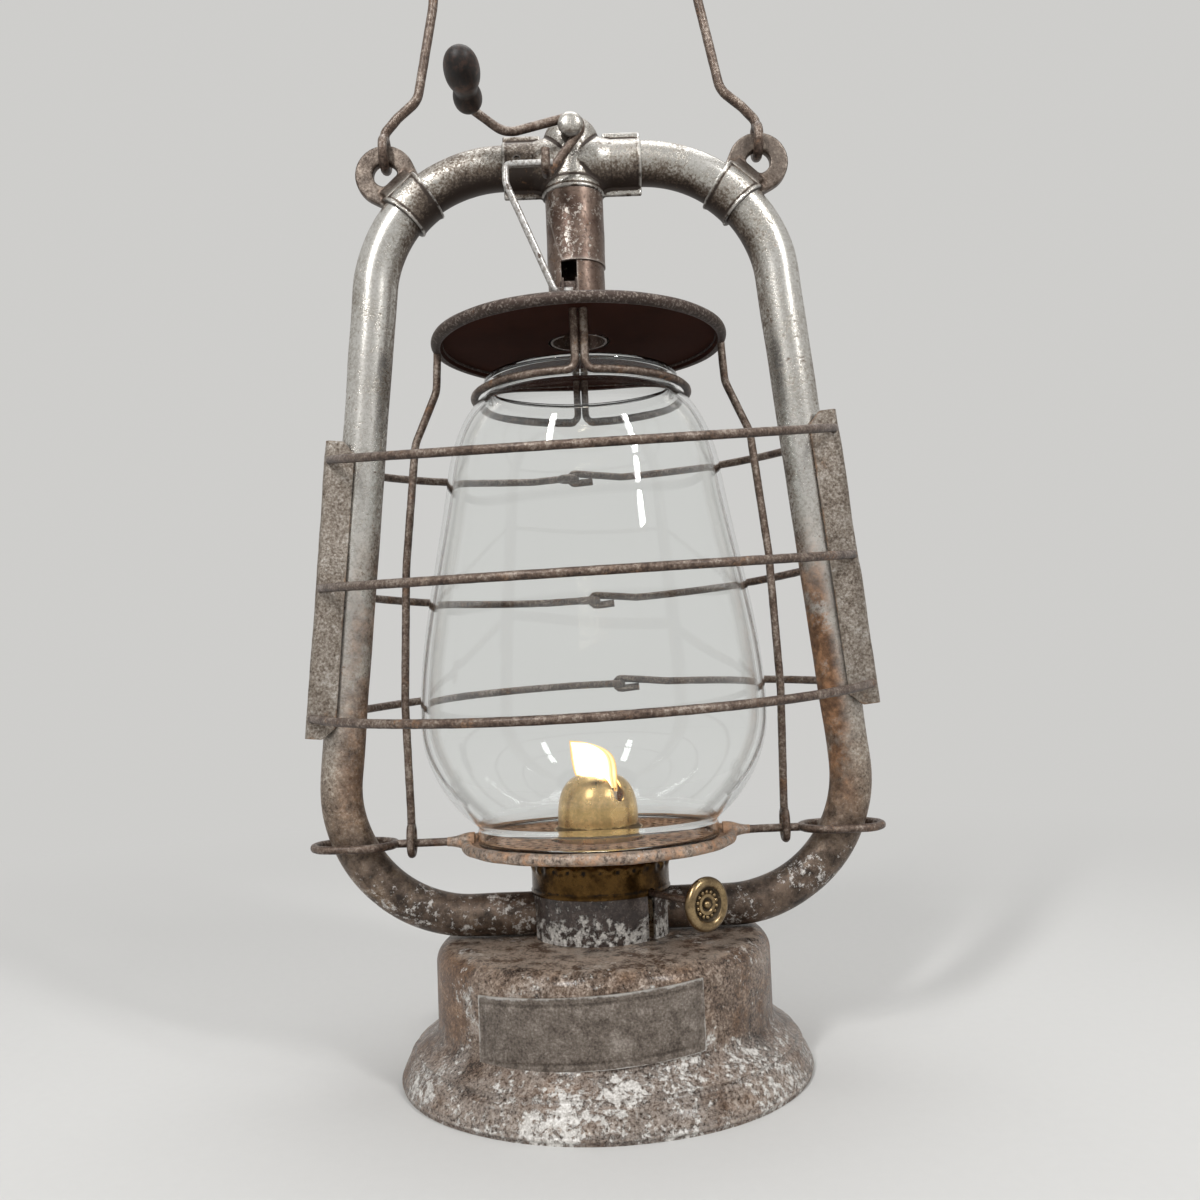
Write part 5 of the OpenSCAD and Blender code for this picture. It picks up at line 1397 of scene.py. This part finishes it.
class LANTERN_OT_burner(LanternOperator):
    """Collar, brass ring, dome, wick tube, wick, shaft and knob"""

    bl_idname = "lantern.burner"
    bl_label = "Burner"

    def build(self):
        dress("burner_collar", collar_patina, "frame", "rusted_steel")
        dress("wick_tube", aged_brass, "frame", "aged_brass")
        dress("wick", wick_cotton, "wick", "wick_cotton")
        dress("wick_shaft", rusted_wire, "wick_drive", "rusted_wire")
        self.ring()
        self.dome()
        self.knob()

    def ring(self):
        """Brass band with a row of crimps round its upper edge."""
        wall, neck_r, deck_r, deck_z = 0.8, 15.2, 19.2, CONE_Z - 3.55
        top = deck_z - 4.6
        crimps, crimp_high, crimp_down, crimp_long = 26, 0.8, 2.3, 1.2
        shaft_hole, hole_deep, hole_at = 1.7, 40, 25
        inside, band = RING_R - wall, RING_R - 0.35
        outline = [(inside, COLLAR_TOP), (RING_R, COLLAR_TOP), (RING_R, COLLAR_TOP + 0.9),
                   (band, COLLAR_TOP + 1.3), (band, top - 1), (RING_R - 1, top), (deck_r, deck_z),
                   (neck_r, deck_z), (neck_r, CONE_Z), (neck_r - wall, CONE_Z),
                   (neck_r - wall, deck_z - wall), (deck_r - wall, deck_z - wall),
                   (inside - 1, top - wall), (inside, top - 1.4)]

        def crimp(r, z, a):
            window = math.exp(-((z - top + crimp_down) / crimp_long) ** 2) if r > RING_R - 2 else 0
            return crimp_high * window * (math.cos(0.5 * crimps * a) ** 2 - 0.3)

        start = pivot("wick_knob_turn") + hole_at * SHAFT
        hole = moved(cylinder(shaft_hole, hole_deep), axes(ACROSS, UP, SHAFT, start))
        mesh = smooth(cut(turned("ring", outline, crimp, longest=0.6, steps=240), hole), 50)
        # The band under the plate takes the darker brass, partly painted shade; the neck above it takes the
        # dome's brass
        two_tone(mesh, browned_and_shaded_brass, aged_brass, lambda face: face.center.z > top * MM)
        place("burner_ring_skin", mesh, None, "frame", "aged_brass", "burner_ring")

    def dome(self):
        """Brass dome, open along the wick at its top."""
        wall, rim, low_z, soft = 0.7, 1.5, CONE_Z + 4, 0.78
        crown, slot_w, slot_deep = DOME_TOP + 1.2, 4.2, 9.5
        outside = [(DOME_R + rim, CONE_Z), (DOME_R + rim, CONE_Z + 0.8)]
        outside += cubic((DOME_R + 1.1, CONE_Z + 0.8), (DOME_R, CONE_Z + 1.6), (DOME_R, CONE_Z + 2.4),
                         (DOME_R, low_z))
        outside += cubic((DOME_R, low_z + 0.1), (DOME_R, crown - 6), (soft * DOME_R, crown), (0, crown), 24)
        in_r, in_top = DOME_R - wall, crown - wall
        inside = cubic((0, in_top), (soft * in_r, in_top), (in_r, in_top - 6), (in_r, low_z), 16)
        half = slot_w / 2
        slot = [(-half, 2 * slot_deep), *arc((0, half), half, 180, 360, 16), (half, 2 * slot_deep)]
        slot = moved(prism(slot, 40), axes(ACROSS, UP, SHAFT, (0, 0, crown - slot_deep)))
        mesh = smooth(cut(turned("dome", outside + inside + [(in_r, CONE_Z)], longest=0.8), slot), 40)
        place("burner_cone_skin", mesh, aged_brass, "frame", "aged_brass", "burner_cone")

    def knob(self):
        """Dished knob with a rolled edge, a ring of beads and a rivet."""
        radius, thick, roll, beads, bead_r, away = 8.6, 5.4, 1.7, 14, 0.7, 50
        face = thick - 1.6
        outline = [(0, 0), (3, 0), (3.4, 1.4), *arc((radius - roll, thick - roll), roll, -90, 150, 14)]
        outline += [(radius - 2 * roll - 0.6, face), (3.6, face), (3.3, face + 0.5), (2.5, face + 0.6)]
        outline += [(2.0, face + 0.2)]
        outline += arc((0, face + 0.1), 1.4, 0, 90, 8)
        mesh = smooth(turned("knob", outline, longest=0.5, steps=96), 50)
        row_r = (radius - 2 * roll + 3) / 2 - 0.1
        spots = mesh_of("spots", [Vector((*p, face)) for p in arc((0, 0), row_r, 0, 360, beads)[:-1]])
        dots = run_tree(bead_tree(), spots, {"Radius": bead_r * MM, "Material": finish(knob_brass)})
        mesh = joined("knob", mesh, dots)
        start = pivot("wick_knob_turn") + (away - thick / 2) * SHAFT
        moved(mesh, axes(UP, SHAFT.cross(UP), SHAFT, start))
        place("wick_knob_skin", mesh, knob_brass, "wick_drive", "aged_brass", "wick_knob")


class LANTERN_OT_flame(LanternOperator):
    """The small flat flame on the wick"""

    bl_idname = "lantern.flame"
    bl_label = "Flame"

    def build(self):
        """A tongue standing in the dome's slot, its tip to the left and its right side lower."""
        deep_in, left, right, deepest = 5.0, -16.0, 12.0, 1.9
        bottom, tip = DOME_TOP - deep_in, sizes().flame_height / MM + deep_in
        rows, around = 40, 48
        points, rims = [], []
        for i in range(rows + 1):
            t = i / rows
            edge_l = left * (0.5 + 0.5 * math.sin(0.5 * math.pi * t) ** 0.5)
            edge_r = left + (right - left) * (1 - t ** 6.5) ** 0.6
            middle, wide = (edge_l + edge_r) / 2, (edge_r - edge_l) / 2
            deep = deepest * (1 - t ** 3) ** 0.6 * (0.5 + 0.5 * min(1.0, 3 * t))
            for k in range(around):
                a = 2 * math.pi * k / around
                along, aside = middle + wide * math.cos(a), deep * math.sin(a)
                points.append(along * SHAFT + aside * ACROSS + (bottom + tip * t) * UP)
                rims.append(max(abs(math.cos(a)), t ** 6))
        faces = [tuple(range(around))]
        for i in range(rows):
            for k in range(around):
                m = (k + 1) % around
                faces.append((i * around + k, i * around + m, (i + 1) * around + m, (i + 1) * around + k))
        mesh = mesh_of("flame", points, faces)
        mesh.attributes.new("rim", "FLOAT", "POINT").data.foreach_set("value", rims)
        mesh = tidy(mesh, 2e-5)
        mesh.shade_smooth()
        place("flame", mesh, flame_glow, "wick", None)


class LANTERN_OT_tubes(LanternOperator):
    """The two bent air tubes"""

    bl_idname = "lantern.tubes"
    bl_label = "Air tubes"

    def build(self):
        right = [tube_route()]
        for name, paths in (("right_tube", right), ("left_tube", mirrored_paths(right))):
            mesh = wire_mesh(paths, TUBE_TOP_D, worn_tin, step=0.002, sides=48, wobble=0.0)
            mesh = dent(mesh, sizes().dents, size=0.02, seed=len(name))
            place(name + "_skin", mesh, worn_tin, "frame", "tinned_steel", name)


ARM_R, ARM_END = 8.8, 25.0
NECK_LOW = TUBE_TOP_Z - 12
CHIMNEY_R, CHIMNEY_TOP = 10.2, TUBE_TOP_Z - 9


class LANTERN_OT_tee(LanternOperator):
    """Tee, crank pin and chimney tube"""

    bl_idname = "lantern.tee"
    bl_label = "Tee and chimney"

    def build(self):
        self.tee()
        dress("crank_pin", stamped_tin, "frame", "tinned_steel")
        self.chimney()

    def tee(self):
        """Two stamped halves that meet in flanges along both arms."""
        body_r, neck_r, dome = 10.4, 11.0, TUBE_TOP_Z + 18
        waist_r, waist, taper, bead = 10.0, 9.4, 14.0, 0.6
        flange_in, flange_h, thick = 11.3, 3.4, 1.6
        outline = [(0, NECK_LOW), (neck_r, NECK_LOW), (neck_r, CHIMNEY_TOP), (body_r - 0.5, CHIMNEY_TOP + 2)]
        body = lathe("body", outline + arc((0, dome - body_r), body_r, 0, 90, 16), 64)
        lip = lathe("lip", arc((neck_r - 0.1, NECK_LOW + bead), bead, 0, 330, 11), 64)
        arms = lathe("arms", [(0, -ARM_END), (ARM_R, -ARM_END), (ARM_R, -taper), (waist_r, -waist),
                              (waist_r, waist), (ARM_R, taper), (ARM_R, ARM_END), (0, ARM_END)], 64)
        hems = [lathe("hem", arc((ARM_R - 0.3, side * (ARM_END - bead)), bead, 0, 330, 11), 64)
                for side in (-1, 1)]
        along_x = axes((0, 1, 0), (0, 0, 1), (1, 0, 0), (0, 0, TUBE_TOP_Z))
        arms = moved(joined("arms", arms, *hems), along_x)
        flange_x, flange_z = (ARM_END + flange_in) / 2, ARM_R + flange_h / 2 - 0.8
        flange = (ARM_END - flange_in, thick, flange_h + 1)
        flanges = [block(flange, (side * flange_x, 0, TUBE_TOP_Z + v * flange_z))
                   for side in (-1, 1) for v in (-1, 1)]
        skin = fused(joined("tee", body, lip, arms, *flanges), VOXEL, rounds=5)
        rivet_hole = moved(cylinder(1.1, 8, 20), facing((-19.6, -ARM_R, TUBE_TOP_Z - 0.4)))
        skin = smooth(cut(skin, rivet_hole), 60)
        place("tee_skin", skin, stamped_tin, "frame", "tinned_steel", "tee_front", "tee_rear")

    def chimney(self):
        """Chimney tube with its slot, and the sheet lapped over its front above the slot."""
        slot_x, slot_w, slot_h, slot_deep = -2.5, 5.6, 27.0, 24
        inner = CHIMNEY_R - SHEET
        tube = turned("chimney", [(inner, HOOD_LOW), (CHIMNEY_R, HOOD_LOW), (CHIMNEY_R, CHIMNEY_TOP),
                                  (inner, CHIMNEY_TOP)])
        tube = cut(tube, block((slot_w, slot_deep, 2 * slot_h), (slot_x, -slot_deep / 2, HOOD_LOW)))
        thick, down, across = 0.55, 40, 60
        high_edge, low_edge, far_edge = (math.radians(a) for a in (-62, -27, 104))
        top, bottom = NECK_LOW + 1, HOOD_LOW + slot_h
        rows = []
        for i in range(down + 1):
            t = i / down
            left = high_edge + (low_edge - high_edge) * t ** 1.7
            turns = [left + (far_edge - left) * k / across for k in range(across + 1)]
            outs = [Vector((math.sin(a), -math.cos(a), 0)) for a in turns]
            rows.append([(out * (CHIMNEY_R + thick) + UP * (top + (bottom - top) * t), out) for out in outs])
        lap = slab("lap", rows, thick + 0.3)
        mesh = dent(joined("chimney", tube, lap), 0.6 * sizes().dents, size=0.009, seed=5.0)
        mesh = smooth(mesh, 40)
        place("chimney_tube_skin", mesh, chimney_brown, "frame", "rusted_steel", "chimney_tube")


BEND_CENTRE = Vector((TUBE_TOP_X - BEND_TOP_R * math.tan((math.pi / 2 - math.acos(TUBE_UP.z)) / 2), 0,
                      TUBE_TOP_Z - BEND_TOP_R))
EAR_TURN = math.radians(47.5)


class LANTERN_OT_ears(LanternOperator):
    """The two ears that carry the bail"""

    bl_idname = "lantern.ears"
    bl_label = "Ears"

    def build(self):
        right = smooth(self.ear(), 60)
        left = other_side(right)
        for name, mesh in (("right_ear", right), ("left_ear", left)):
            place(name + "_skin", mesh, ear_tin, "frame", "tinned_steel", name)

    def ear(self):
        """Strap round the tube, pinched into a thick lug with a hole."""
        out = Vector((math.cos(EAR_TURN), 0, math.sin(EAR_TURN)))
        along = Vector((-out.z, 0, out.x))
        in_plane = axes(out, along, (0, -1, 0), BEND_CENTRE)
        lug_at, lug_r, hole_r, thick = BEND_TOP_R + 15.4, 11.3, 4.4, 4.0
        strap_r, strap_w, bead, steps = 9.2, 12.6, 0.6, 40
        half_turn = math.degrees(strap_w / BEND_TOP_R) / 2
        path = circle(BEND_CENTRE, BEND_TOP_R, out, along, -half_turn, half_turn, steps)
        ends = [max(0.0, abs(2 * i / steps - 1) * 5 - 4) for i in range(steps + 1)]
        girth = [1 + bead / strap_r * end ** 0.5 for end in ends]
        strap = wire_mesh([{"corners": path, "girth": girth}], 2 * strap_r, worn_tin, step=0.0003,
                          sides=48, wobble=0.0)
        lug = prism([(BEND_TOP_R, -strap_w / 2), *arc((lug_at, 0), lug_r - 0.4, -105, 105, 30),
                     (BEND_TOP_R, strap_w / 2)], thick)
        lug = cut(lug, moved(cylinder(hole_r, 12), Matrix.Translation((lug_at, 0, 0))))
        saddle_deep, wide, narrow = 11.8, 6.2, 1.3
        saddle = [(3, -wide), (7.2, -wide), (12.6, -narrow), (12.6, narrow), (7.2, wide), (3, wide)]
        saddle = moved(prism(saddle, saddle_deep), facing((BEND_TOP_R, 0, 0)))
        parts = [moved(part, in_plane) for part in (lug, saddle)]
        return fused(joined("ear", strap, *parts), VOXEL, rounds=7)


class LANTERN_OT_bail(LanternOperator):
    """The wire bail"""

    bl_idname = "lantern.bail"
    bl_label = "Bail"

    def build(self):
        mesh = wire_mesh(bail_routes(), BAIL_D, rusted_wire)
        place("bail_skin", mesh, rusted_wire, "bail", "rusted_wire", "bail")


class LANTERN_OT_crank(LanternOperator):
    """Crank, its grip, the lift rod and its bracket"""

    bl_idname = "lantern.crank"
    bl_label = "Crank"

    def build(self):
        crank = wire_mesh([crank_route()], CRANK_D, rusted_wire)
        place("lift_crank_skin", crank, rusted_wire, "crank", "rusted_wire", "lift_crank")
        rod = wire_mesh([rod_route()], ROD_D, bright_wire)
        place("lift_rod_skin", rod, bright_wire, "carriage", "rusted_wire", "lift_rod")
        dress("rod_bracket", hood_rust, "carriage", "rusted_steel")
        self.grip()

    def grip(self):
        """Turned wooden grip: a bead, a waist and a long belly."""
        long, big, bead, waist = 32.0, 6.0, 5.44, 3.96
        neck, belly = (waist, 0.29 * long), (big, 0.68 * long)
        outline = [(0, 0), *cubic((3.6, 0), (bead, 0), (bead, 0.2 * long), neck, 16)]
        outline += cubic(neck, (waist, 0.42 * long), (big, 0.46 * long), belly, 20)[1:]
        outline += cubic(belly, (big, 0.88 * long), (0.7 * big, long), (0, long), 20)[1:]
        start = Vector((pivot("grip_spin").x, high("crank_grip").y, pivot("grip_spin").z))
        mesh = moved(turned("grip", outline, longest=0.8, steps=96), facing(start))
        place("crank_grip_skin", smooth(mesh, 60), grip_wood, "grip", "grip_wood", "crank_grip")


class LANTERN_OT_carriage(LanternOperator):
    """Hood, globe rings, side wires, pierced plate and guide loops"""

    bl_idname = "lantern.carriage"
    bl_label = "Globe carriage"

    def build(self):
        self.hood()
        self.plate()
        left_ring = [globe_ring_route()]
        right = {"side_wire": side_wire_routes(), "guide_loop": guide_routes(),
                 "globe_ring": mirrored_paths(left_ring)}
        for group, paths in right.items():
            for name, way in (("right_" + group, paths), ("left_" + group, mirrored_paths(paths))):
                mesh = wire_mesh(way, CARRIAGE_D, rusted_wire)
                place(name + "_skin", mesh, rusted_wire, "carriage", "rusted_wire", name)

    def hood(self):
        """Flat hood with a rolled rim and a collar, red-brown underneath, darkened there as painted shade.
        """
        rim, rim_at, flat_r, fillet, hem = 2.1, 50.8, 46.8, 1.4, 0.6
        collar, collar_top = 11.1, high("hood").z
        top = HOOD_LOW + SHEET
        outline = [(collar, HOOD_LOW), (flat_r, HOOD_LOW), *arc((rim_at, HOOD_LOW - 0.4), rim, 175, 480, 24)]
        outline += [(flat_r - 0.5, top), (collar + SHEET + fillet, top)]
        outline += arc((collar + SHEET + fillet, top + fillet), fillet, 270, 180, 6)
        outline += [(collar + SHEET, collar_top - 1.0)]
        outline += [*arc((collar + SHEET, collar_top - 0.5), hem, -60, 120, 8), (collar, collar_top)]
        mesh = smooth(dent(turned("hood", outline), sizes().dents, size=0.02, seed=7.0), 50)

        def is_under(face):
            return face.normal.z < -0.3 and math.hypot(*face.center.xy) < (rim_at - 0.5 * rim) * MM

        # The downward faces under the hood take the darker finish: partly scale, partly painted shade
        two_tone(mesh, hood_rust, hood_scale_and_shade, is_under)
        place("hood_skin", mesh, None, "carriage", "rusted_steel", "hood")

    def plate(self):
        """Pierced plate with a rolled rim, and a socket at each side for its guide rod."""
        roll, inner, thick, hole_r, hole_deep, pitch = 1.9, 16.9, 1.2, 1.15, 4, 4.2
        under = PLATE_TOP - thick
        rim = (PLATE_R - roll, under + thick / 2)
        outline = [(inner, under), (rim[0] - roll, under), *arc(rim, roll, -150, 150, 18)]
        outline += [(rim[0] - roll, PLATE_TOP), (inner, PLATE_TOP)]
        holder = stand("sheet", turned("sheet", outline, longest=3.0, steps=120))
        first_row, row_step, hole_rows = 20.5, 3.8, 6
        spots = []
        for k in range(hole_rows):
            r = first_row + row_step * k
            count = math.floor(2 * math.pi * r / pitch)
            turns = [2 * math.pi * (i + 0.5 * (k % 2)) / count for i in range(count)]
            spots += [(r * math.cos(a), r * math.sin(a), PLATE_TOP) for a in turns]
        mesh = run_tree(hole_tree(), mesh_of("spots", spots), {
            "Sheet": holder, "Radius": hole_r * MM, "Depth": hole_deep * MM,
            "Material": finish(plate_rust_and_flame_light)})
        bpy.data.objects.remove(holder)
        socket = [(0, -3), *cubic((3.0, -3), (3.2, 1.5), (1.7, 1.5), (1.6, 6.5), 10), (0, 6.5)]
        sockets = []
        for side in (-1, 1):
            at = axes((0, side, 0), (0, 0, 1), (side, 0, 0), (side * (rim[0] + 0.4), 0, ROD_Z))
            sockets.append(moved(lathe("socket", socket, 32), at))
        mesh = dent(joined("plate", mesh, *sockets), 0.8 * sizes().dents, size=0.008, seed=9.0)
        place("globe_plate_skin", smooth(mesh, 40), plate_rust_and_flame_light, "carriage", "rusted_steel", "globe_plate")


class LANTERN_OT_globe(LanternOperator):
    """The glass globe"""

    bl_idname = "lantern.globe"
    bl_label = "Globe"

    def build(self):
        z, top = PLATE_TOP - 0.3, GLOBE_TOP
        foot, belly, neck, wall, lip = 42.0, 60.3, 34.7, 2.0, 0.6
        widest, shoulder, throat = (belly, z + 43), (neck + 13.8, top - 35.5), (neck, top - 6.5)
        line = [(foot - lip, z), *arc((foot - lip, z + lip), lip, -60, 0, 4)]
        line += cubic((foot, z + 6.5), (foot + 9.5, z + 14), (belly, widest[1] - 16), widest, 40)
        line += cubic(widest, (belly, widest[1] + 29), (shoulder[0] + 3.4, shoulder[1] - 25),
                      shoulder, 50)[1:]
        line += cubic(shoulder, (shoulder[0] - 2, shoulder[1] + 14), (neck + 6.6, top - 11.5),
                      throat, 24)[1:]
        line += [(neck, top - 0.8), (neck - 0.4, top - 0.1), (neck - 0.8, top)]
        mesh = turned("globe", line + inwards(line, wall)[::-1], longest=1.4, steps=192)
        mesh.shade_smooth()
        place("globe_skin", mesh, clear_glass, "carriage", "clear_glass", "globe")


class LANTERN_OT_guard(LanternOperator):
    """Guard plates on the tubes and the three guard wires"""

    bl_idname = "lantern.guard"
    bl_label = "Guard"

    def build(self):
        for name, drop, seed in (("right_guard_plate", 0.0, 1.0), ("left_guard_plate", GUARD_DROP, 2.0)):
            mesh = self.plate(GUARD_Z - drop, seed)
            if drop:
                mesh = other_side(mesh)
            place(name + "_skin", smooth(mesh, 50), guard_grey, "frame", "rusted_steel", name)
        for name, form in GUARD_WIRES.items():
            mesh = wire_mesh(guard_routes(*form), GUARD_D, rusted_wire)
            place(name + "_skin", mesh, rusted_wire, "frame", "rusted_wire", name)

    def plate(self, z, seed):
        """Sheet folded round the outside of a tube, a little wavy, its free corners cut off."""
        free, out, corner, thick, half_h, cut_off, up = 1.6, 12.4, 2.4, 1.0, 52.0, 4.2, 90
        long_wave, short_wave, long_high, short_high, sunk = 16, 6, 0.35, 0.12, 0.2
        half = high("right_guard_plate").y
        line = [(free, half), *arc((out - corner, half - corner), corner, 90, 0, 8)]
        line += [*arc((out - corner, corner - half), corner, 0, -90, 8), (free, -half)]
        ways = refine(line, 0.8, closed=False)
        shift = Vector((seed, 0, 3 * seed))
        rows = []
        for i in range(up + 1):
            row = []
            for k, (x, y) in enumerate(ways):
                a, b = ways[max(k - 1, 0)], ways[min(k + 1, len(ways) - 1)]
                side = Vector((b[0] - a[0], b[1] - a[1])).normalized()
                normal = -side.y * TUBE_OUT + Vector((0, side.x, 0))
                tall = half_h - max(0.0, cut_off - (x - free))
                spot = on_tube(z) + x * TUBE_OUT + Vector((0, y, 0)) + tall * (2 * i / up - 1) * TUBE_UP
                wave = long_high * noise.noise(spot / long_wave + shift)
                wave += short_high * noise.noise(spot / short_wave - shift)
                row.append((spot + (wave - sunk) * normal, normal))
            rows.append(row)
        return slab("guard_plate", rows, thick)


# Stage

CAMERA_PLACE = Vector((-0.74, -402.5, 133.1))
CAMERA_YAW, CAMERA_PITCH, CAMERA_ROLL = (math.radians(a) for a in (0.64, 3.89, -2.35))
CAMERA_LENS = 34.11
FLOOR_R = 2.5
LAMP_AIM = Vector((0, 0, 0.18))
WORLD_LIGHT = 0.42


class LANTERN_OT_stage(LanternOperator):
    """Pale floor, soft light and the camera"""

    bl_idname = "lantern.stage"
    bl_label = "Stage"

    def build(self):
        self.floor()
        self.world()
        self.lamp("key", side=-30, up=40, away=1.3, size=(0.09, 0.5), power=9)
        self.lamp("fill", side=44, up=37, away=1.3, size=(0.08, 0.5), power=6)
        self.lamp("over", side=170, up=78, away=1.5, size=(1.1, 1.1), power=9)
        self.camera()

    def floor(self):
        """A large pale disc under the lantern."""
        mesh = bpy.data.meshes.new("floor")
        bm = bmesh.new()
        bmesh.ops.create_circle(bm, cap_ends=True, segments=96, radius=FLOOR_R)
        bm.to_mesh(mesh)
        bm.free()
        mesh.materials.append(self.floor_finish())
        floor = stand("floor", mesh)
        floor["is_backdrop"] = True

    def floor_finish(self):
        """Pale floor that takes the shadow near the lantern and runs into the backdrop far from it."""
        pale = colours().backdrop
        s = Shade("pale_floor")
        grain = s.noise(0.004, 3, 0.6, 200.0)
        s.start(s.blend(grain, tuple(0.96 * x for x in pale), pale), 0.8, 0.0)
        s.done()
        glow = s.add("ShaderNodeEmission", Color=pale, Strength=1.0)
        floor_r, backdrop_r = 0.2, 0.75
        mix = s.add("ShaderNodeMixShader", Fac=s.ramp(s.reach(), floor_r, backdrop_r))
        s.tree.links.new(s.shader.outputs["BSDF"], mix.inputs[1])
        s.tree.links.new(glow.outputs["Emission"], mix.inputs[2])
        s.tree.links.new(mix.outputs["Shader"], s.tree.nodes["Material Output"].inputs["Surface"])
        return s.material

    def world(self):
        """Even pale light, with the backdrop's own colour where it is seen."""
        world = bpy.data.worlds.new("backdrop")
        bpy.context.scene.world = world
        world.use_nodes = True
        nodes, links = world.node_tree.nodes, world.node_tree.links
        light = nodes["Background"]
        light.inputs["Color"].default_value = (1, 1, 1, 1)
        light.inputs["Strength"].default_value = WORLD_LIGHT
        seen = nodes.new("ShaderNodeBackground")
        seen.inputs["Color"].default_value = (*colours().backdrop, 1)
        seen.inputs["Strength"].default_value = 1.0
        rays = nodes.new("ShaderNodeLightPath")
        any_ray = rays.outputs["Is Camera Ray"]
        for name in ("Is Glossy Ray", "Is Transmission Ray"):
            either = nodes.new("ShaderNodeMath")
            either.operation = "MAXIMUM"
            links.new(any_ray, either.inputs[0])
            links.new(rays.outputs[name], either.inputs[1])
            any_ray = either.outputs["Value"]
        pick = nodes.new("ShaderNodeMixShader")
        links.new(any_ray, pick.inputs["Fac"])
        links.new(light.outputs["Background"], pick.inputs[1])
        links.new(seen.outputs["Background"], pick.inputs[2])
        links.new(pick.outputs["Shader"], nodes["World Output"].inputs["Surface"])

    def lamp(self, name, side, up, away, size, power):
        """One soft lamp aimed at the lantern, to a side of the camera and up, in degrees."""
        data = bpy.data.lights.new(name, "AREA")
        data.shape = "RECTANGLE"
        data.size, data.size_y = size
        data.energy = power
        lamp = stand(name, data)
        a, b = math.radians(side), math.radians(up)
        way = Vector((math.sin(a) * math.cos(b), -math.cos(a) * math.cos(b), math.sin(b)))
        lamp.location = LAMP_AIM + away * way
        lamp.rotation_euler = (-way).to_track_quat("-Z", "Y").to_euler()

    def camera(self):
        """The photograph's point of view."""
        data = bpy.data.cameras.new("camera")
        data.sensor_width = 36
        data.lens = CAMERA_LENS
        data.clip_start = 0.01
        yaw, pitch, roll = CAMERA_YAW, CAMERA_PITCH, CAMERA_ROLL
        ahead = Vector((math.sin(yaw) * math.cos(pitch), math.cos(yaw) * math.cos(pitch), math.sin(pitch)))
        right = Vector((math.cos(yaw), -math.sin(yaw), 0))
        up = right.cross(ahead)
        x = math.cos(roll) * right + math.sin(roll) * up
        y = math.cos(roll) * up - math.sin(roll) * right
        camera = stand("camera", data)
        turn = Matrix((x, y, -ahead)).transposed().to_4x4()
        camera.matrix_world = Matrix.Translation(CAMERA_PLACE * MM) @ turn
        bpy.context.scene.camera = camera
        bpy.context.scene.view_settings.view_transform = "Standard"


OPERATORS = (
    LANTERN_OT_stage, LANTERN_OT_fount, LANTERN_OT_burner, LANTERN_OT_flame, LANTERN_OT_tubes,
    LANTERN_OT_tee, LANTERN_OT_ears, LANTERN_OT_bail, LANTERN_OT_crank, LANTERN_OT_carriage,
    LANTERN_OT_globe, LANTERN_OT_guard,
)


class LANTERN_PT_panel(bpy.types.Panel):
    """Sidebar panel with the lantern's sizes, colours and groups of pieces."""

    bl_idname = "LANTERN_PT_panel"
    bl_label = "Hurricane lantern"
    bl_space_type = "VIEW_3D"
    bl_region_type = "UI"
    bl_category = "Lantern"

    def draw(self, context):
        for group in (context.scene.lantern_sizes, context.scene.lantern_colours):
            for name in group.__annotations__:
                self.layout.prop(group, name)
        for operator in OPERATORS:
            self.layout.operator(operator.bl_idname)


CLASSES = (LanternSizes, LanternColours, *OPERATORS, LANTERN_PT_panel)


def register():
    for cls in CLASSES:
        bpy.utils.register_class(cls)
    bpy.types.Scene.lantern_sizes = PointerProperty(type=LanternSizes)
    bpy.types.Scene.lantern_colours = PointerProperty(type=LanternColours)


def unregister():
    del bpy.types.Scene.lantern_sizes
    del bpy.types.Scene.lantern_colours
    for cls in reversed(CLASSES):
        bpy.utils.unregister_class(cls)


def main():
    """Builds everything in order."""
    register()
    for operator in OPERATORS:
        group, name = operator.bl_idname.split(".")
        getattr(getattr(bpy.ops, group), name)()
    boxes = {"cad": CAD_BOX, "visual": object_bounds()}
    {name: [list(corner) for corner in box] for name, box in boxes.items()}


if __name__ == "__main__":
    main()
